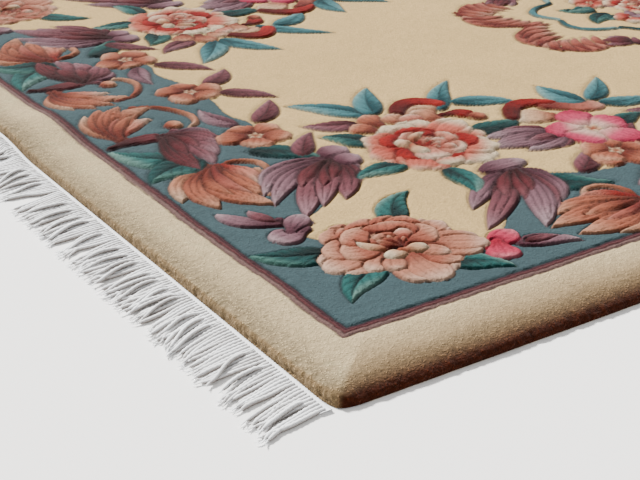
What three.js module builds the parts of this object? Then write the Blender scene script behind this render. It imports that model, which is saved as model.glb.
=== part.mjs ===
// Carved wool rug with a floral border, a medallion and a cotton fringe at both ends.
// Units are millimetres. +X runs along the rug's length, +Y across it and +Z up from the floor.
// The origin lies under the middle of the rug, on the floor.

import * as THREE from 'three';

// Driving dimensions of the rug
const LENGTH = 2740;
const WIDTH = 1836;
const PILE_TOP = 16;
const FIELD_TOP = 15;
const CORNER_RADIUS = 14;

// Plain border, from the rug's edge to the outer line of the guard stripe
const END_BORDER = 77;
const SIDE_BORDER = 103;
const GUARD_GROOVE = { half: 4, depth: 1.6 };

// Edges of the pile: how far each ring stands in from the outline, and its height
const EDGE_PROFILE = [
  { inset: 2, z: 0, uneven: 0 },
  { inset: 0, z: 3.4, uneven: 0 },
  { inset: 0.5, z: 9, uneven: 1 },
  { inset: 4.5, z: 14, uneven: 1 },
  { inset: 12, z: PILE_TOP, uneven: 1 },
];
const END_STEPS = 18;
const SIDE_STEPS = 14;
const END_CROWDING = 0.6;
const CORNER_STEPS = 3;
const EDGE_UNEVENNESS = 2.2;

// Low ripple that runs in from the middle of the near end
const RIPPLE = { height: 9, y: -8, halfWidth: 120, reach: 430 };

// Carving
const CARVED_GAP = 2.2;
const MOTIF_RISE = 2.6;
const HEART_RISE = 1.6;
const HAND_DRIFT = { size: 0.5, waveX: 71, waveY: 53 };

// Fringe
const STRANDS_PER_END = 112;
const STRIP = { gap: 0.3, width: 13, height: 3, endInset: 7 };
const STRAND = { length: 68, lengthSpread: 8, rootWidth: 7, tipWidth: 5, rise: 3.6, lean: 9, jitter: 1.6 };
const STRAND_SECTIONS = 3;

// Middle of the rug, measured from the outer corner of the guard stripe
const FIELD_MIDDLE = { u: LENGTH / 2 - END_BORDER, v: WIDTH / 2 - SIDE_BORDER };

const DEGREE = Math.PI / 180;

// Motifs of one quarter of the rug. u runs along the long side and v along the fringed end, both
// from the outer corner of the guard stripe.

// Roses and small flowers: middle, radius and number of petals
const BLOOMS = [
  { u: 178, v: 151, radius: 96, petals: 7, turn: 12 },
  { u: 438, v: 418, radius: 92, petals: 8, turn: 5 },
  { u: 240, v: 586, radius: 50, petals: 5, turn: 20 },
  { u: 651, v: 233, radius: 50, petals: 5, turn: 60 },
  { u: 678, v: 336, radius: 56, petals: 6, turn: 10 },
  { u: 298, v: 84, radius: 27, petals: 3, turn: 40 },
  { u: 92, v: 256, radius: 26, petals: 3, turn: 0 },
  { u: 296, v: 448, radius: 32, petals: 3, turn: 30 },
  { u: 474, v: 282, radius: 32, petals: 3, turn: 90 },
  { u: 532, v: 556, radius: 56, petals: 4, turn: 45 },
  { u: 678, v: 446, radius: 50, petals: 4, turn: 45 },
  { u: 412, v: 532, radius: 34, petals: 3, turn: 70 },
];

// Leaves: foot, tip and widest width
const LEAVES = [
  { u0: 106, v0: 205, u1: 21, v1: 229, width: 50 },
  { u0: 137, v0: 113, u1: 58, v1: 62, width: 38 },
  { u0: 212, v0: 79, u1: 271, v1: 31, width: 38 },
  { u0: 236, v0: 209, u1: 301, v1: 281, width: 40 },
  { u0: 199, v0: 527, u1: 267, v1: 445, width: 48 },
  { u0: 257, v0: 480, u1: 322, v1: 548, width: 40 },
  { u0: 96, v0: 288, u1: 51, v1: 356, width: 30 },
  { u0: 360, v0: 452, u1: 319, v1: 524, width: 50 },
  { u0: 356, v0: 363, u1: 271, v1: 360, width: 40 },
  { u0: 394, v0: 319, u1: 377, v1: 233, width: 40 },
  { u0: 397, v0: 548, u1: 322, v1: 582, width: 44 },
  { u0: 432, v0: 569, u1: 349, v1: 668, width: 50 },
  { u0: 449, v0: 562, u1: 510, v1: 675, width: 46 },
  { u0: 548, v0: 524, u1: 647, v1: 637, width: 40 },
  { u0: 582, v0: 538, u1: 675, v1: 483, width: 44 },
  { u0: 524, v0: 418, u1: 620, v1: 428, width: 50 },
  { u0: 634, v0: 336, u1: 503, v1: 353, width: 80 },
  { u0: 767, v0: 425, u1: 760, v1: 527, width: 48 },
  { u0: 781, v0: 428, u1: 873, v1: 510, width: 40 },
  { u0: 784, v0: 414, u1: 877, v1: 394, width: 40 },
  { u0: 740, v0: 325, u1: 805, v1: 336, width: 40 },
  { u0: 555, v0: 209, u1: 627, v1: 277, width: 40 },
  { u0: 490, v0: 226, u1: 558, v1: 161, width: 48 },
  { u0: 319, v0: 79, u1: 394, v1: 38, width: 36 },
];

// Acanthus fans: root, first and last blade direction in degrees, blades and longest blade
const FANS = [
  { u: 288, v: 432, from: 184, to: 250, blades: 5, reach: 196 },
  { u: 120, v: 503, from: 188, to: 284, blades: 5, reach: 150 },
  { u: 473, v: 260, from: 204, to: 266, blades: 5, reach: 200 },
  { u: 548, v: 82, from: 162, to: 240, blades: 5, reach: 150 },
];

// Curled scroll ends: middle of the curl, radius, first direction and sweep in degrees, width
const CURLS = [
  { u: 161, v: 480, radius: 27, from: 150, sweep: -230, width: 13 },
  { u: 524, v: 130, radius: 27, from: -60, sweep: 230, width: 13 },
];

// The part of the end border that the long side repeats, turned over the corner's diagonal
const REPEAT_FANS = [
  { u: 70, v: 674, from: 284, to: 350, blades: 5, reach: 158 },
  { u: 62, v: 684, from: 40, to: 96, blades: 4, reach: 128 },
];
const REPEAT_CURLS = [{ u: 168, v: 712, radius: 27, from: 70, sweep: -240, width: 13 }];
const REPEAT_LEAVES = [
  { u0: 106, v0: 572, u1: 21, v1: 640, width: 52 },
  { u0: 110, v0: 562, u1: 27, v1: 510, width: 48 },
  { u0: 240, v0: 640, u1: 223, v1: 733, width: 38 },
  { u0: 271, v0: 637, u1: 342, v1: 716, width: 40 },
  { u0: 290, v0: 786, u1: 361, v1: 735, width: 42 },
];
const REPEAT_MIDDLE_BLOOM = { u: 247, v: 815, radius: 50, petals: 5, turn: 0 };
const SIDE_SHIFT = 65;

// Rosette in the middle of each long side
const SIDE_ROSETTE = { u: FIELD_MIDDLE.u, v: 130, radius: 72, petals: 7, turn: 0 };

// Medallion, measured from the middle of the rug: one quarter of its pieces
const MEDALLION_FANS = [
  { u: -262, v: -160, from: 150, to: 196, blades: 4, reach: 112 },
  { u: -300, v: -30, from: 160, to: 232, blades: 4, reach: 92 },
  { u: -100, v: -225, from: 172, to: 225, blades: 5, reach: 118 },
];
const MEDALLION_LEAVES = [
  { u0: -92, v0: 34, u1: -160, v1: 60, width: 40 },
  { u0: -58, v0: -86, u1: -120, v1: -116, width: 40 },
];
const MEDALLION_BLOOMS = [{ u: -62, v: -44, radius: 40, petals: 5, turn: 10 }];
const MEDALLION_HEART = { u: 0, v: 0, radius: 58, petals: 8, turn: 0 };
const MEDALLION_LINE = { along: 245, across: 170, scallop: 16, width: 11, steps: 48, lobes: 8 };

// One petal of a bloom's outline: places within its share of the turn, and how far out
const PETAL = [{ at: -0.3, out: 1 }, { at: 0.3, out: 1 }, { at: 0.5, out: 0.8 }];
const BUD_PETAL = [{ at: 0, out: 1 }, { at: 0.5, out: 0.86 }];

// Smooth value from 0 to 1 and back to 0 as t runs from -1 to 1
function bump(t) {
  return Math.abs(t) >= 1 ? 0 : 0.5 + 0.5 * Math.cos(Math.PI * t);
}

// Height by which the ripple lifts the rug at a point
function lift(x, y) {
  const inward = Math.max(0, 1 - (x + LENGTH / 2) / RIPPLE.reach);
  return RIPPLE.height * Math.min(1, inward) * bump((y - RIPPLE.y) / RIPPLE.halfWidth);
}

// Closed triangle mesh that shares its vertices by place
class Solid {
  constructor() {
    this.places = [];
    this.index = new Map();
    this.triangles = [];
  }

  vertex(x, y, z) {
    const key = `${x.toFixed(3)},${y.toFixed(3)},${z.toFixed(3)}`;
    if (!this.index.has(key)) {
      this.index.set(key, this.places.length);
      this.places.push([x, y, z]);
    }
    return this.index.get(key);
  }

  triangle(a, b, c) {
    if (a !== b && b !== c && c !== a) this.triangles.push(a, b, c);
  }

  quad(a, b, c, d) {
    this.triangle(a, b, c);
    this.triangle(a, c, d);
  }

  // Joins two closed rings of the same number of vertices; the faces look away from the loop's middle
  // when the first ring is the lower one and both run anticlockwise seen from above
  band(lower, upper) {
    const n = lower.length;
    for (let i = 0; i < n; i += 1) {
      const j = (i + 1) % n;
      this.quad(lower[i], lower[j], upper[j], upper[i]);
    }
  }

  // Fills a flat outline, with holes, by faces that look up, or down when facingUp is false
  fill(outline, holes, facingUp) {
    const flat = [outline, ...holes].map((ring) => ring.map((id) => {
      const [x, y] = this.places[id];
      return new THREE.Vector2(x, y);
    }));
    const ids = [outline, ...holes].flat();
    const faces = THREE.ShapeUtils.triangulateShape(flat[0], flat.slice(1));
    const at = flat.flat();
    for (const [a, b, c] of faces) {
      const turn = (at[b].x - at[a].x) * (at[c].y - at[a].y) - (at[c].x - at[a].x) * (at[b].y - at[a].y);
      const up = turn > 0;
      if (up === facingUp) this.triangle(ids[a], ids[b], ids[c]);
      else this.triangle(ids[a], ids[c], ids[b]);
    }
  }

  geometry() {
    const geometry = new THREE.BufferGeometry();
    geometry.setAttribute('position', new THREE.Float32BufferAttribute(this.places.flat(), 3));
    geometry.setIndex(this.triangles);
    geometry.computeVertexNormals();
    return geometry;
  }
}

// Slow waviness of the rug's edge, always inward
function edgeWave(along) {
  const wave = Math.sin(along / 83) + 0.7 * Math.sin(along / 37 + 1.3) + 0.5 * Math.sin(along / 211 + 0.4);
  return EDGE_UNEVENNESS * (wave + 2.2) / 4.4;
}

// Points of a rectangle with rounded corners, anticlockwise, inset from the rug's outline
function outlineRing(insetX, insetY, radius, uneven) {
  const halfX = LENGTH / 2 - insetX;
  const halfY = WIDTH / 2 - insetY;
  const corners = [
    { x: -halfX + radius, y: -halfY + radius, from: 180 },
    { x: halfX - radius, y: -halfY + radius, from: 270 },
    { x: halfX - radius, y: halfY - radius, from: 0 },
    { x: -halfX + radius, y: halfY - radius, from: 90 },
  ];
  const points = [];
  corners.forEach((corner, k) => {
    for (let i = 0; i <= CORNER_STEPS; i += 1) {
      const angle = (corner.from + 90 * i / CORNER_STEPS) * DEGREE;
      points.push([corner.x + radius * Math.cos(angle), corner.y + radius * Math.sin(angle)]);
    }
    const next = corners[(k + 1) % 4];
    const leave = (corner.from + 90) * DEGREE;
    const start = [corner.x + radius * Math.cos(leave), corner.y + radius * Math.sin(leave)];
    const stop = [next.x + radius * Math.cos(leave), next.y + radius * Math.sin(leave)];
    const steps = k % 2 === 0 ? SIDE_STEPS : END_STEPS;
    for (let i = 1; i < steps; i += 1) {
      const even = i / steps;
      const t = k % 2 === 0 ? even : even + END_CROWDING * Math.sin(2 * Math.PI * even) / (2 * Math.PI);
      const x = start[0] + (stop[0] - start[0]) * t;
      const y = start[1] + (stop[1] - start[1]) * t;
      const inward = uneven * edgeWave(k % 2 === 0 ? x + 400 * k : y + 400 * k);
      points.push([x + inward * Math.cos(leave + Math.PI), y + inward * Math.sin(leave + Math.PI)]);
    }
  });
  return points;
}

// Outline of a pointed leaf, from its foot round its tip, with its ridge
function leafShape({ u0, v0, u1, v1, width }) {
  const du = u1 - u0;
  const dv = v1 - v0;
  const length = Math.hypot(du, dv);
  const across = [-dv / length * width / 2, du / length * width / 2];
  const place = (t, side) => [u0 + du * t + across[0] * side, v0 + dv * t + across[1] * side];
  const outline = [place(0, 0), place(0.26, 0.85), place(0.64, 0.85), place(1, 0),
    place(0.64, -0.85), place(0.26, -0.85)];
  return { outline, ridge: [place(0.28, 0), place(0.66, 0)] };
}

// Outline of a flower: one round lobe for each petal
function bloomShape({ u, v, radius, petals, turn }) {
  const outline = [];
  for (let i = 0; i < petals; i += 1) {
    for (const { at, out } of (petals > 3 ? PETAL : BUD_PETAL)) {
      const angle = (turn + 360 * (i + at) / petals) * DEGREE;
      outline.push([u + radius * out * Math.cos(angle), v + radius * out * Math.sin(angle)]);
    }
  }
  return { outline, inner: 0.74, heart: radius > 60 ? 0.36 : 0 };
}

// Outline of an acanthus fan: pointed blades that spread from a narrow root
function fanShape({ u, v, from, to, blades, reach }) {
  const outline = [];
  const middle = (from + to) / 2 * DEGREE;
  const root = reach * 0.14;
  outline.push([u - root * Math.sin(middle), v + root * Math.cos(middle)]);
  outline.reverse();
  const ends = [];
  for (let i = 0; i < blades; i += 1) {
    const t = blades === 1 ? 0.5 : i / (blades - 1);
    const angle = (from + (to - from) * t) * DEGREE;
    const length = reach * (0.74 + 0.26 * Math.sin(Math.PI * (0.12 + 0.8 * t)));
    ends.push([u + length * Math.cos(angle), v + length * Math.sin(angle)]);
    if (i < blades - 1) {
      const notch = angle + (to - from) / (blades - 1) * 0.62 * DEGREE;
      ends.push([u + length * 0.76 * Math.cos(notch), v + length * 0.76 * Math.sin(notch)]);
    }
  }
  const sign = Math.sign(to - from);
  outline[0] = [u + sign * root * Math.sin(middle), v - sign * root * Math.cos(middle)];
  outline.push(...ends);
  outline.push([u - sign * root * Math.sin(middle), v + sign * root * Math.cos(middle)]);
  return { outline, inner: 0.82, heart: 0 };
}

// Outline of a curled scroll end: a band along an arc
function curlShape({ u, v, radius, from, sweep, width }) {
  const steps = 5;
  const outer = [];
  const inner = [];
  for (let i = 0; i <= steps; i += 1) {
    const t = i / steps;
    const angle = (from + sweep * t) * DEGREE;
    const middle = radius * (1 - 0.2 * t);
    const half = width * (0.35 + 0.3 * t);
    outer.push([u + (middle + half) * Math.cos(angle), v + (middle + half) * Math.sin(angle)]);
    inner.push([u + (middle - half) * Math.cos(angle), v + (middle - half) * Math.sin(angle)]);
  }
  return { outline: [...outer, ...inner.reverse()], spine: true };
}

const transposed = {
  bloom: (row) => ({ ...row, u: row.v + SIDE_SHIFT, v: row.u, turn: 90 - row.turn }),
  leaf: (row) => ({ ...row, u0: row.v0 + SIDE_SHIFT, v0: row.u0, u1: row.v1 + SIDE_SHIFT, v1: row.u1 }),
  fan: (row) => ({ ...row, u: row.v + SIDE_SHIFT, v: row.u, from: 90 - row.from, to: 90 - row.to }),
  curl: (row) => ({ ...row, u: row.v + SIDE_SHIFT, v: row.u, from: 90 - row.from, sweep: -row.sweep }),
};

// Every motif of one quarter, as shapes in u and v
function quarterShapes() {
  const ends = [
    ...REPEAT_FANS.map(fanShape),
    ...REPEAT_LEAVES.map(leafShape),
    ...REPEAT_CURLS.map(curlShape),
  ];
  const sides = [
    ...REPEAT_FANS.map(transposed.fan).map(fanShape),
    ...REPEAT_LEAVES.map(transposed.leaf).map(leafShape),
    ...REPEAT_CURLS.map(transposed.curl).map(curlShape),
  ];
  const fold = FIELD_MIDDLE.v + SIDE_SHIFT;
  const folded = sides.map((shape) => mapShape(shape, ([u, v]) => [2 * fold - u, v]));
  return [
    ...BLOOMS.map(bloomShape),
    ...FANS.map(fanShape),
    ...LEAVES.map(leafShape),
    ...CURLS.map(curlShape),
    bloomShape(transposed.bloom(REPEAT_MIDDLE_BLOOM)),
    ...ends,
    ...sides,
    ...folded,
  ];
}

function mapShape(shape, move) {
  const mapped = { ...shape, outline: shape.outline.map(move) };
  if (shape.ridge) mapped.ridge = shape.ridge.map(move);
  return mapped;
}

// Places a quarter's shapes in all four quarters of the rug, in x and y
function mirroredToAll(shapes, toX, toY) {
  const all = [];
  for (const shape of shapes) {
    for (const [sx, sy] of [[1, 1], [-1, 1], [1, -1], [-1, -1]]) {
      all.push(mapShape(shape, ([u, v]) => [sx * toX(u), sy * toY(v)]));
    }
  }
  return all;
}

// Medallion shapes, in x and y
function medallionShapes() {
  const quarter = [
    ...MEDALLION_FANS.map(fanShape),
    ...MEDALLION_LEAVES.map(leafShape),
    ...MEDALLION_BLOOMS.map(bloomShape),
  ];
  const ring = (offset) => {
    const points = [];
    for (let i = 0; i < MEDALLION_LINE.steps; i += 1) {
      const angle = 2 * Math.PI * i / MEDALLION_LINE.steps;
      const wave = MEDALLION_LINE.scallop * Math.abs(Math.sin(MEDALLION_LINE.lobes * angle / 2));
      const along = MEDALLION_LINE.along + wave + offset;
      const across = MEDALLION_LINE.across + wave + offset;
      points.push([along * Math.cos(angle), across * Math.sin(angle)]);
    }
    return points;
  };
  const line = { outline: ring(MEDALLION_LINE.width / 2), inside: ring(-MEDALLION_LINE.width / 2) };
  const outer = mirroredToAll(quarter.slice(0, MEDALLION_FANS.length), (u) => u, (v) => v);
  const inner = mirroredToAll(quarter.slice(MEDALLION_FANS.length), (u) => u, (v) => v);
  return { line, outer, inner: [bloomShape(MEDALLION_HEART), ...inner] };
}

function signedArea(outline) {
  return THREE.ShapeUtils.area(outline.map(([x, y]) => new THREE.Vector2(x, y)));
}

function centroid(outline) {
  const sum = outline.reduce((total, [x, y]) => [total[0] + x, total[1] + y], [0, 0]);
  return [sum[0] / outline.length, sum[1] / outline.length];
}

function scaledAbout([cx, cy], factor) {
  return ([x, y]) => [cx + (x - cx) * factor, cy + (y - cy) * factor];
}

function segmentDistance(p, a, b) {
  const [dx, dy] = [b[0] - a[0], b[1] - a[1]];
  const t = Math.min(1, Math.max(0, ((p[0] - a[0]) * dx + (p[1] - a[1]) * dy) / (dx * dx + dy * dy)));
  return Math.hypot(p[0] - a[0] - dx * t, p[1] - a[1] - dy * t);
}

function contains(outline, [px, py]) {
  let odd = false;
  outline.forEach(([x0, y0], i) => {
    const [x1, y1] = outline[(i + 1) % outline.length];
    if ((y0 > py) !== (y1 > py) && px < (x1 - x0) * (py - y0) / (y1 - y0) + x0) odd = !odd;
  });
  return odd;
}

function cross(a, b, c) {
  return (b[0] - a[0]) * (c[1] - a[1]) - (c[0] - a[0]) * (b[1] - a[1]);
}

// Whether two outlines come closer than the carved gap, cross, or lie one inside the other
function tooClose(first, second) {
  const near = (one, other) => one.some((p) => other.some((a, i) => (
    segmentDistance(p, a, other[(i + 1) % other.length]) < CARVED_GAP)));
  const crosses = first.some((a, i) => {
    const b = first[(i + 1) % first.length];
    return second.some((c, k) => {
      const d = second[(k + 1) % second.length];
      return cross(a, b, c) * cross(a, b, d) < 0 && cross(c, d, a) * cross(c, d, b) < 0;
    });
  });
  return crosses || near(first, second) || near(second, first)
    || contains(first, second[0]) || contains(second, first[0]);
}

function boxOf(outline) {
  const xs = outline.map(([x]) => x);
  const ys = outline.map(([, y]) => y);
  return [Math.min(...xs), Math.min(...ys), Math.max(...xs), Math.max(...ys)];
}

function boxesApart(a, b) {
  return a[0] > b[2] + CARVED_GAP || b[0] > a[2] + CARVED_GAP
    || a[1] > b[3] + CARVED_GAP || b[1] > a[3] + CARVED_GAP;
}

// Small drift of a hand-carved outline, so that no two mirrored motifs are quite alike
function handUneven([x, y]) {
  const { size, waveX, waveY } = HAND_DRIFT;
  return [x + size * Math.sin(y / waveY + x / waveX), y + size * Math.cos(x / waveX - y / (2 * waveY))];
}

// Draws a shape in towards its middle until a carved gap parts it from the shapes already laid
function layShapes(shapes, keepInside) {
  const laid = [];
  const steps = 7;
  for (const shape of shapes) {
    const middle = centroid(shape.outline);
    for (let k = 0; k < steps; k += 1) {
      const trial = mapShape(shape, scaledAbout(middle, 1 - 0.08 * k));
      trial.box = boxOf(trial.outline);
      const clear = keepInside(trial.outline)
        && laid.every((other) => boxesApart(trial.box, other.box) || !tooClose(trial.outline, other.outline));
      if (clear) {
        trial.outline = trial.outline.map(handUneven);
        if (signedArea(trial.outline) < 0) trial.outline.reverse();
        laid.push(trial);
        break;
      }
    }
  }
  return laid;
}

// Adds the raised pillow of one motif over its hole in the field
function addPillow(solid, shape, outlineIds) {
  const height = FIELD_TOP + MOTIF_RISE;
  const place = (x, y, z) => solid.vertex(x, y, z + lift(x, y));
  if (shape.ridge) {
    const ridge = shape.ridge.map(([x, y]) => place(x, y, height));
    const n = outlineIds.length;
    const nearest = outlineIds.map((id) => {
      const [x, y] = solid.places[id];
      const [d0, d1] = shape.ridge.map(([rx, ry]) => Math.hypot(x - rx, y - ry));
      return d0 < d1 ? ridge[0] : ridge[1];
    });
    for (let i = 0; i < n; i += 1) {
      const j = (i + 1) % n;
      solid.triangle(outlineIds[i], outlineIds[j], nearest[i]);
      if (nearest[i] !== nearest[j]) solid.triangle(nearest[i], outlineIds[j], nearest[j]);
    }
    return;
  }
  const middle = centroid(shape.outline);
  let ring;
  if (shape.spine) {
    const n = shape.outline.length;
    ring = shape.outline.map(([x, y], i) => {
      const [mx, my] = shape.outline[n - 1 - i];
      return place(x + (mx - x) * 0.3, y + (my - y) * 0.3, height);
    });
  } else {
    ring = shape.outline.map(scaledAbout(middle, shape.inner)).map(([x, y]) => place(x, y, height));
  }
  solid.band(outlineIds, ring);
  if (shape.heart) {
    const heart = shape.outline.map(scaledAbout(middle, shape.heart));
    const dip = heart.map(([x, y]) => place(x, y, height - HEART_RISE));
    solid.band(ring, dip);
    solid.triangles.push(...fanOf(dip, place(middle[0], middle[1], height)));
  } else {
    solid.fill(ring, [], true);
  }
}

// Triangles from a closed ring to one middle vertex
function fanOf(ring, apex) {
  return ring.flatMap((id, i) => [id, ring[(i + 1) % ring.length], apex]);
}

// The pile with its backing: one closed slab with rounded edges, a guard groove and carved motifs
function makePile() {
  const solid = new Solid();
  const ringIds = (points, z) => points.map(([x, y]) => solid.vertex(x, y, z + lift(x, y)));
  const edges = EDGE_PROFILE.map(({ inset, z, uneven }) => (
    ringIds(outlineRing(inset, inset, CORNER_RADIUS, uneven), z)));
  for (let k = 0; k + 1 < edges.length; k += 1) solid.band(edges[k], edges[k + 1]);

  const { half, depth } = GUARD_GROOVE;
  const guard = (shift, z) => ringIds(
    outlineRing(END_BORDER + shift, SIDE_BORDER + shift, CORNER_RADIUS / 2, 0.5), z);
  const guardRings = [guard(0, PILE_TOP), guard(half, PILE_TOP - depth), guard(2 * half, FIELD_TOP)];
  solid.band(edges[edges.length - 1], guardRings[0]);
  solid.band(guardRings[0], guardRings[1]);
  solid.band(guardRings[1], guardRings[2]);

  const limitX = FIELD_MIDDLE.u - 2 * half - 6;
  const limitY = FIELD_MIDDLE.v - 2 * half - 6;
  const inField = (outline) => outline.every(([x, y]) => Math.abs(x) < limitX && Math.abs(y) < limitY);
  const toX = (u) => u - FIELD_MIDDLE.u;
  const toY = (v) => v - FIELD_MIDDLE.v;
  const onAxes = [
    ...[-1, 1].map((s) => mapShape(bloomShape(REPEAT_MIDDLE_BLOOM), ([u, v]) => [s * -toX(u), toY(v)])),
    ...[-1, 1].map((s) => mapShape(bloomShape(SIDE_ROSETTE), ([u, v]) => [toX(u), s * -toY(v)])),
  ];
  const medallion = medallionShapes();
  const lineHole = { ...medallion.line, box: boxOf(medallion.line.outline) };
  const outside = layShapes(
    [lineHole, ...onAxes, ...mirroredToAll(quarterShapes(), toX, toY), ...medallion.outer], inField);
  const inside = layShapes(medallion.inner, (outline) => (
    !tooClose(outline, medallion.line.inside) || outline.every((p) => contains(medallion.line.inside, p)
      && medallion.line.inside.every((a) => Math.hypot(a[0] - p[0], a[1] - p[1]) > CARVED_GAP))));

  const holeIds = outside.map((shape) => ringIds(shape.outline, FIELD_TOP));
  solid.fill(guardRings[2], holeIds, true);
  outside.slice(1).forEach((shape, k) => addPillow(solid, shape, holeIds[k + 1]));

  // The medallion's outline ribbon, and the field and motifs inside it
  const insideEdge = ringIds(medallion.line.inside, FIELD_TOP);
  const crest = ringIds(medallion.line.outline.map(([x, y], i) => {
    const [ix, iy] = medallion.line.inside[i];
    return [(x + ix) / 2, (y + iy) / 2];
  }), FIELD_TOP + MOTIF_RISE);
  solid.band(holeIds[0], crest);
  solid.band(crest, insideEdge);
  const innerIds = inside.map((shape) => ringIds(shape.outline, FIELD_TOP));
  solid.fill(insideEdge, innerIds, true);
  inside.forEach((shape, k) => addPillow(solid, shape, innerIds[k]));

  // Underside: a band that follows the ripple, then a flat middle
  const flat = ringIds(outlineRing(RIPPLE.reach + 20, RIPPLE.reach + 20, CORNER_RADIUS, 0), 0);
  solid.band(flat, edges[0]);
  solid.fill(flat, [], false);
  return solid;
}

// One end's fringe: a woven strip with three-sided strands that lie on the floor
function makeFringe(side) {
  const solid = new Solid();
  const at = (x, y, z) => solid.vertex(side * x, y, z);
  const inner = LENGTH / 2 + STRIP.gap;
  const outer = inner + STRIP.width;
  const halfWidth = WIDTH / 2 - STRIP.endInset;
  const raise = (x, y) => lift(side * x, y);
  const pitch = 2 * halfWidth / STRANDS_PER_END;
  const face = (a, b, c) => (side > 0 ? solid.triangle(a, b, c) : solid.triangle(a, c, b));
  const quad = (a, b, c, d) => {
    face(a, b, c);
    face(a, c, d);
  };

  // Stations along the strip: its two ends and each strand's root
  const stations = [{ left: -halfWidth, right: -halfWidth, middle: -halfWidth }];
  for (let i = 0; i < STRANDS_PER_END; i += 1) {
    const middle = -halfWidth + pitch * (i + 0.5);
    stations.push({ left: middle - STRAND.rootWidth / 2, right: middle + STRAND.rootWidth / 2, middle });
  }
  stations.push({ left: halfWidth, right: halfWidth, middle: halfWidth });

  const low = (x, y) => at(x, y, raise(x, y));
  const high = (x, y) => at(x, y, raise(x, y) + STRIP.height);
  for (let k = 0; k + 1 < stations.length; k += 1) {
    const a = stations[k];
    const b = stations[k + 1];
    // Front wall between two roots, top, back wall and underside
    quad(low(outer, a.right), low(outer, b.left), high(outer, b.middle), high(outer, a.middle));
    quad(high(outer, a.middle), high(outer, b.middle), high(inner, b.middle), high(inner, a.middle));
    quad(high(inner, a.middle), high(inner, b.middle), low(inner, b.middle), low(inner, a.middle));
    face(low(inner, a.middle), low(inner, b.middle), low(outer, b.left));
    face(low(inner, a.middle), low(outer, b.left), low(outer, a.right));
    if (a.left !== a.right) face(low(inner, a.middle), low(outer, a.right), low(outer, a.left));
    if (k > 0) strand(a, k);
  }
  quad(low(inner, -halfWidth), low(outer, -halfWidth), high(outer, -halfWidth), high(inner, -halfWidth));
  quad(low(inner, halfWidth), high(inner, halfWidth), high(outer, halfWidth), low(outer, halfWidth));

  // A strand runs out from its root, down to the floor, and wanders a little to its tip
  function strand(station, k) {
    const sway = STRAND.lean * Math.sin(station.middle / 95 + side)
      + STRAND.jitter * Math.sin(k * 2.4 + side);
    const length = STRAND.length - STRAND.lengthSpread * (0.5 + 0.5 * Math.sin(k * 1.7 + 2 * side));
    let ring = [low(outer, station.left), low(outer, station.right), high(outer, station.middle)];
    for (let s = 1; s <= STRAND_SECTIONS; s += 1) {
      const t = s / STRAND_SECTIONS;
      const x = outer + length * t;
      const y = station.middle + sway * t * t + STRAND.jitter * Math.sin(k * 3.1 + 2.5 * s);
      const width = STRAND.rootWidth + (STRAND.tipWidth - STRAND.rootWidth) * t;
      const next = [at(x, y - width / 2, 0), at(x, y + width / 2, 0), at(x, y, STRAND.rise)];
      for (let i = 0; i < 3; i += 1) {
        const j = (i + 1) % 3;
        quad(ring[i], ring[j], next[j], next[i]);
      }
      ring = next;
    }
    face(ring[0], ring[1], ring[2]);
  }
  return solid;
}

const wool = new THREE.MeshStandardMaterial({ color: 0xd8c3a0, roughness: 0.95, metalness: 0 });
const cotton = new THREE.MeshStandardMaterial({ color: 0xe6edf2, roughness: 0.9, metalness: 0 });

function named(name, solid, material) {
  const mesh = new THREE.Mesh(solid.geometry(), material);
  mesh.name = name;
  return mesh;
}

const rug = new THREE.Group();
rug.name = 'carved_rug';
rug.add(named('rug_pile', makePile(), wool));
rug.add(named('fringe_near', makeFringe(-1), cotton));
rug.add(named('fringe_far', makeFringe(1), cotton));

export default rug;
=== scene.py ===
"""Carved wool rug with a floral border, corner sprays, a medallion and a cotton fringe at both ends.

Plan sizes are in millimetres, with x along the rug and y across it, and are turned into metres when a mesh
is made. The pile is one carved surface: every leaf, petal and scroll is a blade that is laid over the field
in turn, and raises, grooves and colours the wool under it.
"""

from __future__ import annotations

import logging
import math
from dataclasses import dataclass, field, replace
from enum import Enum
from typing import Callable, Iterable, NamedTuple, Sequence, Union

import bpy
import numpy as np
from bpy.types import Material, Mesh, Node, NodeSocket, NodeTree, Object
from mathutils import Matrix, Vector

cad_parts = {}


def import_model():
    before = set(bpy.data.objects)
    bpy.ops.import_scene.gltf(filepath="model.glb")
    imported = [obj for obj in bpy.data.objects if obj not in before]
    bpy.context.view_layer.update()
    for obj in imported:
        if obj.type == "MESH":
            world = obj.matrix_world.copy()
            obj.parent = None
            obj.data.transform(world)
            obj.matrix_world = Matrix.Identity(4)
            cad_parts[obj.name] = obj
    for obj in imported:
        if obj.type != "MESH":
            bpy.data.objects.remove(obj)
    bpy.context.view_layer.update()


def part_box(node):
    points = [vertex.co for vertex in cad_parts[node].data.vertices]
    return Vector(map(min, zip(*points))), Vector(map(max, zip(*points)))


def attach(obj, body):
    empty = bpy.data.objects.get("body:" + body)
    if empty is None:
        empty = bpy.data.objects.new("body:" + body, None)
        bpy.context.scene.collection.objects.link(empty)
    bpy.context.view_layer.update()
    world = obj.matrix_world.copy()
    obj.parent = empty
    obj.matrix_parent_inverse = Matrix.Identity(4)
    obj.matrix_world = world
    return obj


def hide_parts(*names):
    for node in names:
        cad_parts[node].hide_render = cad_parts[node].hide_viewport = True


LOG = logging.getLogger("rug")
MM = 0.001
Point = tuple[float, float]
Array = np.ndarray


def linear(rgb: Sequence[float]) -> Array:
    """Turns a screen colour into linear light.

    Args:
        rgb: Red, green and blue from 0 to 255.

    Returns:
        The three linear values, from 0 to 1.
    """
    share = np.asarray(rgb, float) / 255.0
    return np.where(share <= 0.04045, share / 12.92, ((share + 0.055) / 1.055) ** 2.4)


def ease(value: Array | float) -> Array:
    """Returns a soft ramp from 0 to 1, for values from 0 to 1."""
    t = np.clip(value, 0.0, 1.0)
    return t * t * (3.0 - 2.0 * t)


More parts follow.
